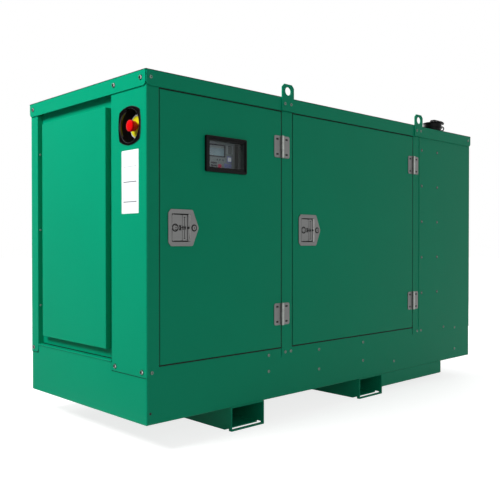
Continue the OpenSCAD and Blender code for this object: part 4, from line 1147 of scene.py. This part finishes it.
def engine():
    s, base = machine(MACHINE_BLACK, "engine")
    shaft, pulley_at = on_shaft(base), on_shaft(base, 606)

    def slab(u0, u1, half, low, high, bevel=6.0):
        s.at(base).box(u0, u1, -half, half, low, high, bevel, 3)

    # Flywheel housing, block with its ribs, sump and rocker covers
    s.at(shaft)
    s.lathe([(0, 0), (194, 0), (200, 5), (200, 16), (186, 24), (186, 44), (194, 50), (194, 62), (0, 62)], 72)
    slab(60, 610, 142, 130, 500, 10)
    for k in range(6):
        slab(84 + 100 * k, 100 + 100 * k, 150, 150, 488, 4)
    for low in (206, 352):
        slab(62, 608, 148, low, low + 12, 3)
    slab(120, 530, 116, 40, 132, 22)
    slab(108, 542, 130, 124, 136, 2)
    for k in range(3):
        slab(82 + 171 * k, 248 + 171 * k, 110, 498, 600, 5)
    # Mounts
    for x in (150, 460):
        for y in (-160, 160):
            s.at(base, x, y).box(-38, 38, -38, 38, 120, 238, 8)
            s.use(RUBBER).lathe([(0, 12), (38, 12), (38, 22), (30, 50), (30, 90), (38, 116), (38, 124),
                                 (0, 124)])
            s.use(MACHINE_BLACK).box(-40, 40, -40, 40, 0, 14, 2)
    # Top cover with its fins
    s.use(ALUMINIUM)
    slab(100, 570, 78, 598, 656, 20)
    for k in range(6):
        slab(122 + 78 * k, 132 + 78 * k, 70, 650, 664, 3)
    # Inlet and exhaust manifolds
    for side, low, r, material in ((-1, 430, 22, ALUMINIUM), (1, 400, 25, MACHINE_BLACK)):
        y = side * (188 - r)
        s.use(material).at(base @ moved(112, y, low + 58 - r) @ turned("Y")).rod(r, 0, 426, 5)
        v0, v1 = sorted((side * 108, y))
        for k in range(4):
            s.at(base).box(130 + 112 * k, 180 + 112 * k, v0, v1, low + 8, low + 48, 9, 3)
    # Filler cap, oil filter on its bracket and injection pump with its pipes
    s.use(PLASTIC).at(base, 486, 0, 652).lathe([(0, 18), (20, 18), (26, 15), (30, 6), (30, 0), (0, 0)], 24)
    s.use(MACHINE_BLACK).at(base).box(286, 354, -232, -140, 326, 356, 6)
    s.use(CONTROL_GREY).at(base, 320, -190, 200)
    s.lathe([(0, 0), (28, 0), (34, 3), (44, 12), (45, 20), (45, 112), (43, 116), (45, 120), (45, 128),
             (0, 128)], 48)
    s.use(ALUMINIUM).at(base).box(120, 262, -192, -140, 236, 316, 8)
    s.use(STEEL)
    for k in range(4):
        x, to = 140 + 34 * k, 130 + 120 * k
        s.tube([(x, -174, 310), (x, -176, 350), (x, -200, 400), (to, -206, 470), (to, -200, 530),
                (to, -160, 560), (to, -106, 566)], 4, 10)
    # Pulley and fan
    s.use(DARK_STEEL).at(pulley_at)
    s.lathe([(0, 0), (40, 0), (40, 6), (86, 7), (90, 10), (80, 15), (90, 20), (80, 25), (90, 30), (86, 33),
             (48, 34), (44, 100), (0, 100)], 64)
    s.use(PLASTIC).rod(62, 96, 150, 8, 48)
    for k in range(7):
        s.at(pulley_at @ turned("Z", k / 7) @ moved(0, 0, 124) @ Matrix.Rotation(0.55, 4, "X"))
        s.prism([(52, -24), (228, -40), (234, 0), (226, 40), (52, 24)], -2, 2, 1)
    cap_screws(s, shaft, 190, 10, 16, 6)
    s.shaped("engine", "housing", "machinery_black")


def radiator():
    s, base = machine(BLACK_PAINT, "radiator")
    box = span("radiator")
    end_x, top, half = box.x1 - box.x0, box.z1 - floor_z, box.y1
    x, core_half, low, high = end_x - 90, half - 50, 112, top - 90
    for v in (-half, core_half - 2):
        s.box(x, end_x, v, v + 52, 0, high + 10, 4)
    for z0, z1 in ((0, low + 2), (high - 2, top)):
        s.box(x, end_x, -half, half, z0, z1, 14, 3)
    for y in (20 - half, half - 20):
        s.box(0, x + 4, y - 10, y + 10, 0, 60, 3)
    s.at(on_shaft(base, x))
    shroud = round_rect(shaft_h - high, shaft_h - low, -core_half, core_half, 8)
    s.plate([shroud, ring(0, 0, 243, 72)], -6, 2, 1)
    s.lathe([(240, -70), (247, -70), (250, -67), (250, -5), (262, 1), (240, 1), (240, -70)], 96)
    s.use(BRIGHT).at(base, x + 45, -180, top)
    s.lathe([(0, 18), (20, 18), (31, 15), (32, 8), (24, 6), (24, -2), (0, -2)])
    s.use(RUBBER).at(base).box(x + 38, x + 52, -core_half - 2, core_half + 2, low - 2, high + 2, 0)
    s.use(ALUMINIUM)
    fins, tubes = 60, 26
    for k in range(fins):
        z = low + (k + 0.5) * (high - low) / fins
        s.box(x + 18, x + 72, -core_half - 1, core_half + 1, z - 0.6, z + 0.6, 0)
    for k in range(tubes):
        y = -core_half + (k + 0.5) * 2 * core_half / tubes
        s.box(x + 22, x + 68, y - 1.6, y + 1.6, low - 2, high + 2, 0)
    s.shaped("radiator", "housing", "black_paint")


alternator()
engine()
radiator()


# --- Floor, light and camera ---

def seen_directly(tree):
    """1 for camera, glossy and transmission rays."""
    path = node(tree, "LightPath")
    total = path.outputs["Is Camera Ray"]
    for other in ("Is Glossy Ray", "Is Transmission Ray"):
        total = node(tree, "Math", {0: total, 1: path.outputs[other]}, operation="MAXIMUM").outputs[0]
    return total


def mixed_output(tree, unseen, seen, output):
    """Links one shader to the output, and another for the rays that seen_directly picks."""
    mix = node(tree, "MixShader", {"Fac": seen_directly(tree), 1: unseen, 2: seen})
    tree.links.new(mix.outputs[0], tree.nodes[output].inputs["Surface"])


def stage_piece(name, points, faces, material):
    mesh = bpy.data.meshes.new(name)
    mesh.from_pydata(points, [], faces)
    mesh.materials.append(material)
    piece = placed(name, mesh)
    return piece


def make_floor(reach_m=30):
    """Pale floor that keeps the shadow and brightens to white away from the object."""
    m = bpy.data.materials.new("pale_floor")
    m.use_nodes = True
    tree = m.node_tree
    tree.nodes.remove(tree.nodes["Principled BSDF"])
    space = node(tree, "TexCoord")
    far = node(tree, "VectorMath", {0: space.outputs["Object"]}, operation="LENGTH").outputs["Value"]
    plain = node(tree, "BsdfDiffuse", {"Color": (0.40, 0.40, 0.40, 1)}).outputs[0]
    lift = node(tree, "Emission", {"Color": (1, 1, 1, 1), "Strength": between(tree, far, 0.80, 1.0, 2, 8)})
    both = node(tree, "AddShader", {0: plain, 1: lift.outputs[0]})
    mixed_output(tree, plain, both.outputs[0], "Material Output")
    corners = [(x * reach_m, y * reach_m, 0) for x, y in ((-1, -1), (1, -1), (1, 1), (-1, 1))]
    stage_piece("floor", corners, [(0, 1, 2, 3)], m)


def make_screen(height_m=3.6):
    """A dark studio screen and its floor strip by the air-inlet end, there for reflections only."""
    plan = [(-2.9, -1.0), (-2.9, 2.6), (-1.9, 3.6)]
    foot = [(-1.3, -0.6), (-1.3, 0.6), (-1.2, 0.6)]
    points = [(x, y, 0.01) for x, y in foot + plan] + [(x, y, height_m) for x, y in plan]
    quads = [(k + row, k + row + 1, k + row + 4, k + row + 3) for k in range(2) for row in (0, 3)]
    card = finish_of("dark_card", (0.02, 0.02, 0.02), 0.9, specular=0.1)
    screen = stage_piece("dark_screen", points, quads, card)
    for kind in ("camera", "diffuse", "transmission", "shadow", "volume_scatter"):
        setattr(screen, "visible_" + kind, False)


def make_world(ambient):
    """Soft light from all round, in front of a white backdrop."""
    world = bpy.data.worlds.new("pale_room")
    bpy.context.scene.world = world
    world.use_nodes = True
    tree = world.node_tree
    room, backdrop = (node(tree, "Background", {"Color": (1, 1, 1, 1), "Strength": strength}).outputs[0]
                      for strength in (ambient, 1.0))
    mixed_output(tree, room, backdrop, "World Output")


def lamp(name, place_m, target_m, size_m, watts):
    data = bpy.data.lights.new(name, "AREA")
    data.shape = "RECTANGLE"
    data.size, data.size_y = size_m
    data.energy = watts
    holder = placed(name, data)
    holder.location = place_m
    holder.rotation_euler = (Vector(target_m) - Vector(place_m)).to_track_quat("-Z", "Y").to_euler()
    holder.visible_camera = False
    return holder


def make_camera(place_m, below_level, heading, lens):
    """A 36 mm camera. The angles are in degrees, and the heading is from +Y towards -X."""
    data = bpy.data.cameras.new("camera")
    data.sensor_width = 36
    data.lens = lens
    camera = placed("camera", data)
    camera.location = place_m
    camera.rotation_euler = (math.radians(90 - below_level), 0, math.radians(heading))
    bpy.context.scene.camera = camera


make_floor()
make_screen()
make_world(0.19)
lamp("key", (-3.8, 0.35, 3.15), (-1.1, 0.1, 0.9), (1.4, 1.2), 158).visible_glossy = False
lamp("front_fill", (-2.2, -4.6, 2.0), (-0.3, -0.4, 0.7), (3.0, 2.4), 30)
lamp("rear_fill", (1.2, 5.0, 3.0), (0, 0.4, 0.7), (3.0, 2.4), 150)
lamp("end_fill", (5.0, 0.9, 2.6), (1.1, 0.1, 0.7), (2.4, 2.4), 120)
lamp("top", (0.2, 0.6, 4.8), (0, 0.2, 1.4), (3.0, 2.4), 80)
make_camera((-2.6076, -2.5138, 0.7682), 0.594, -43.623, 49.34)
bpy.context.scene.view_settings.view_transform = "Standard"
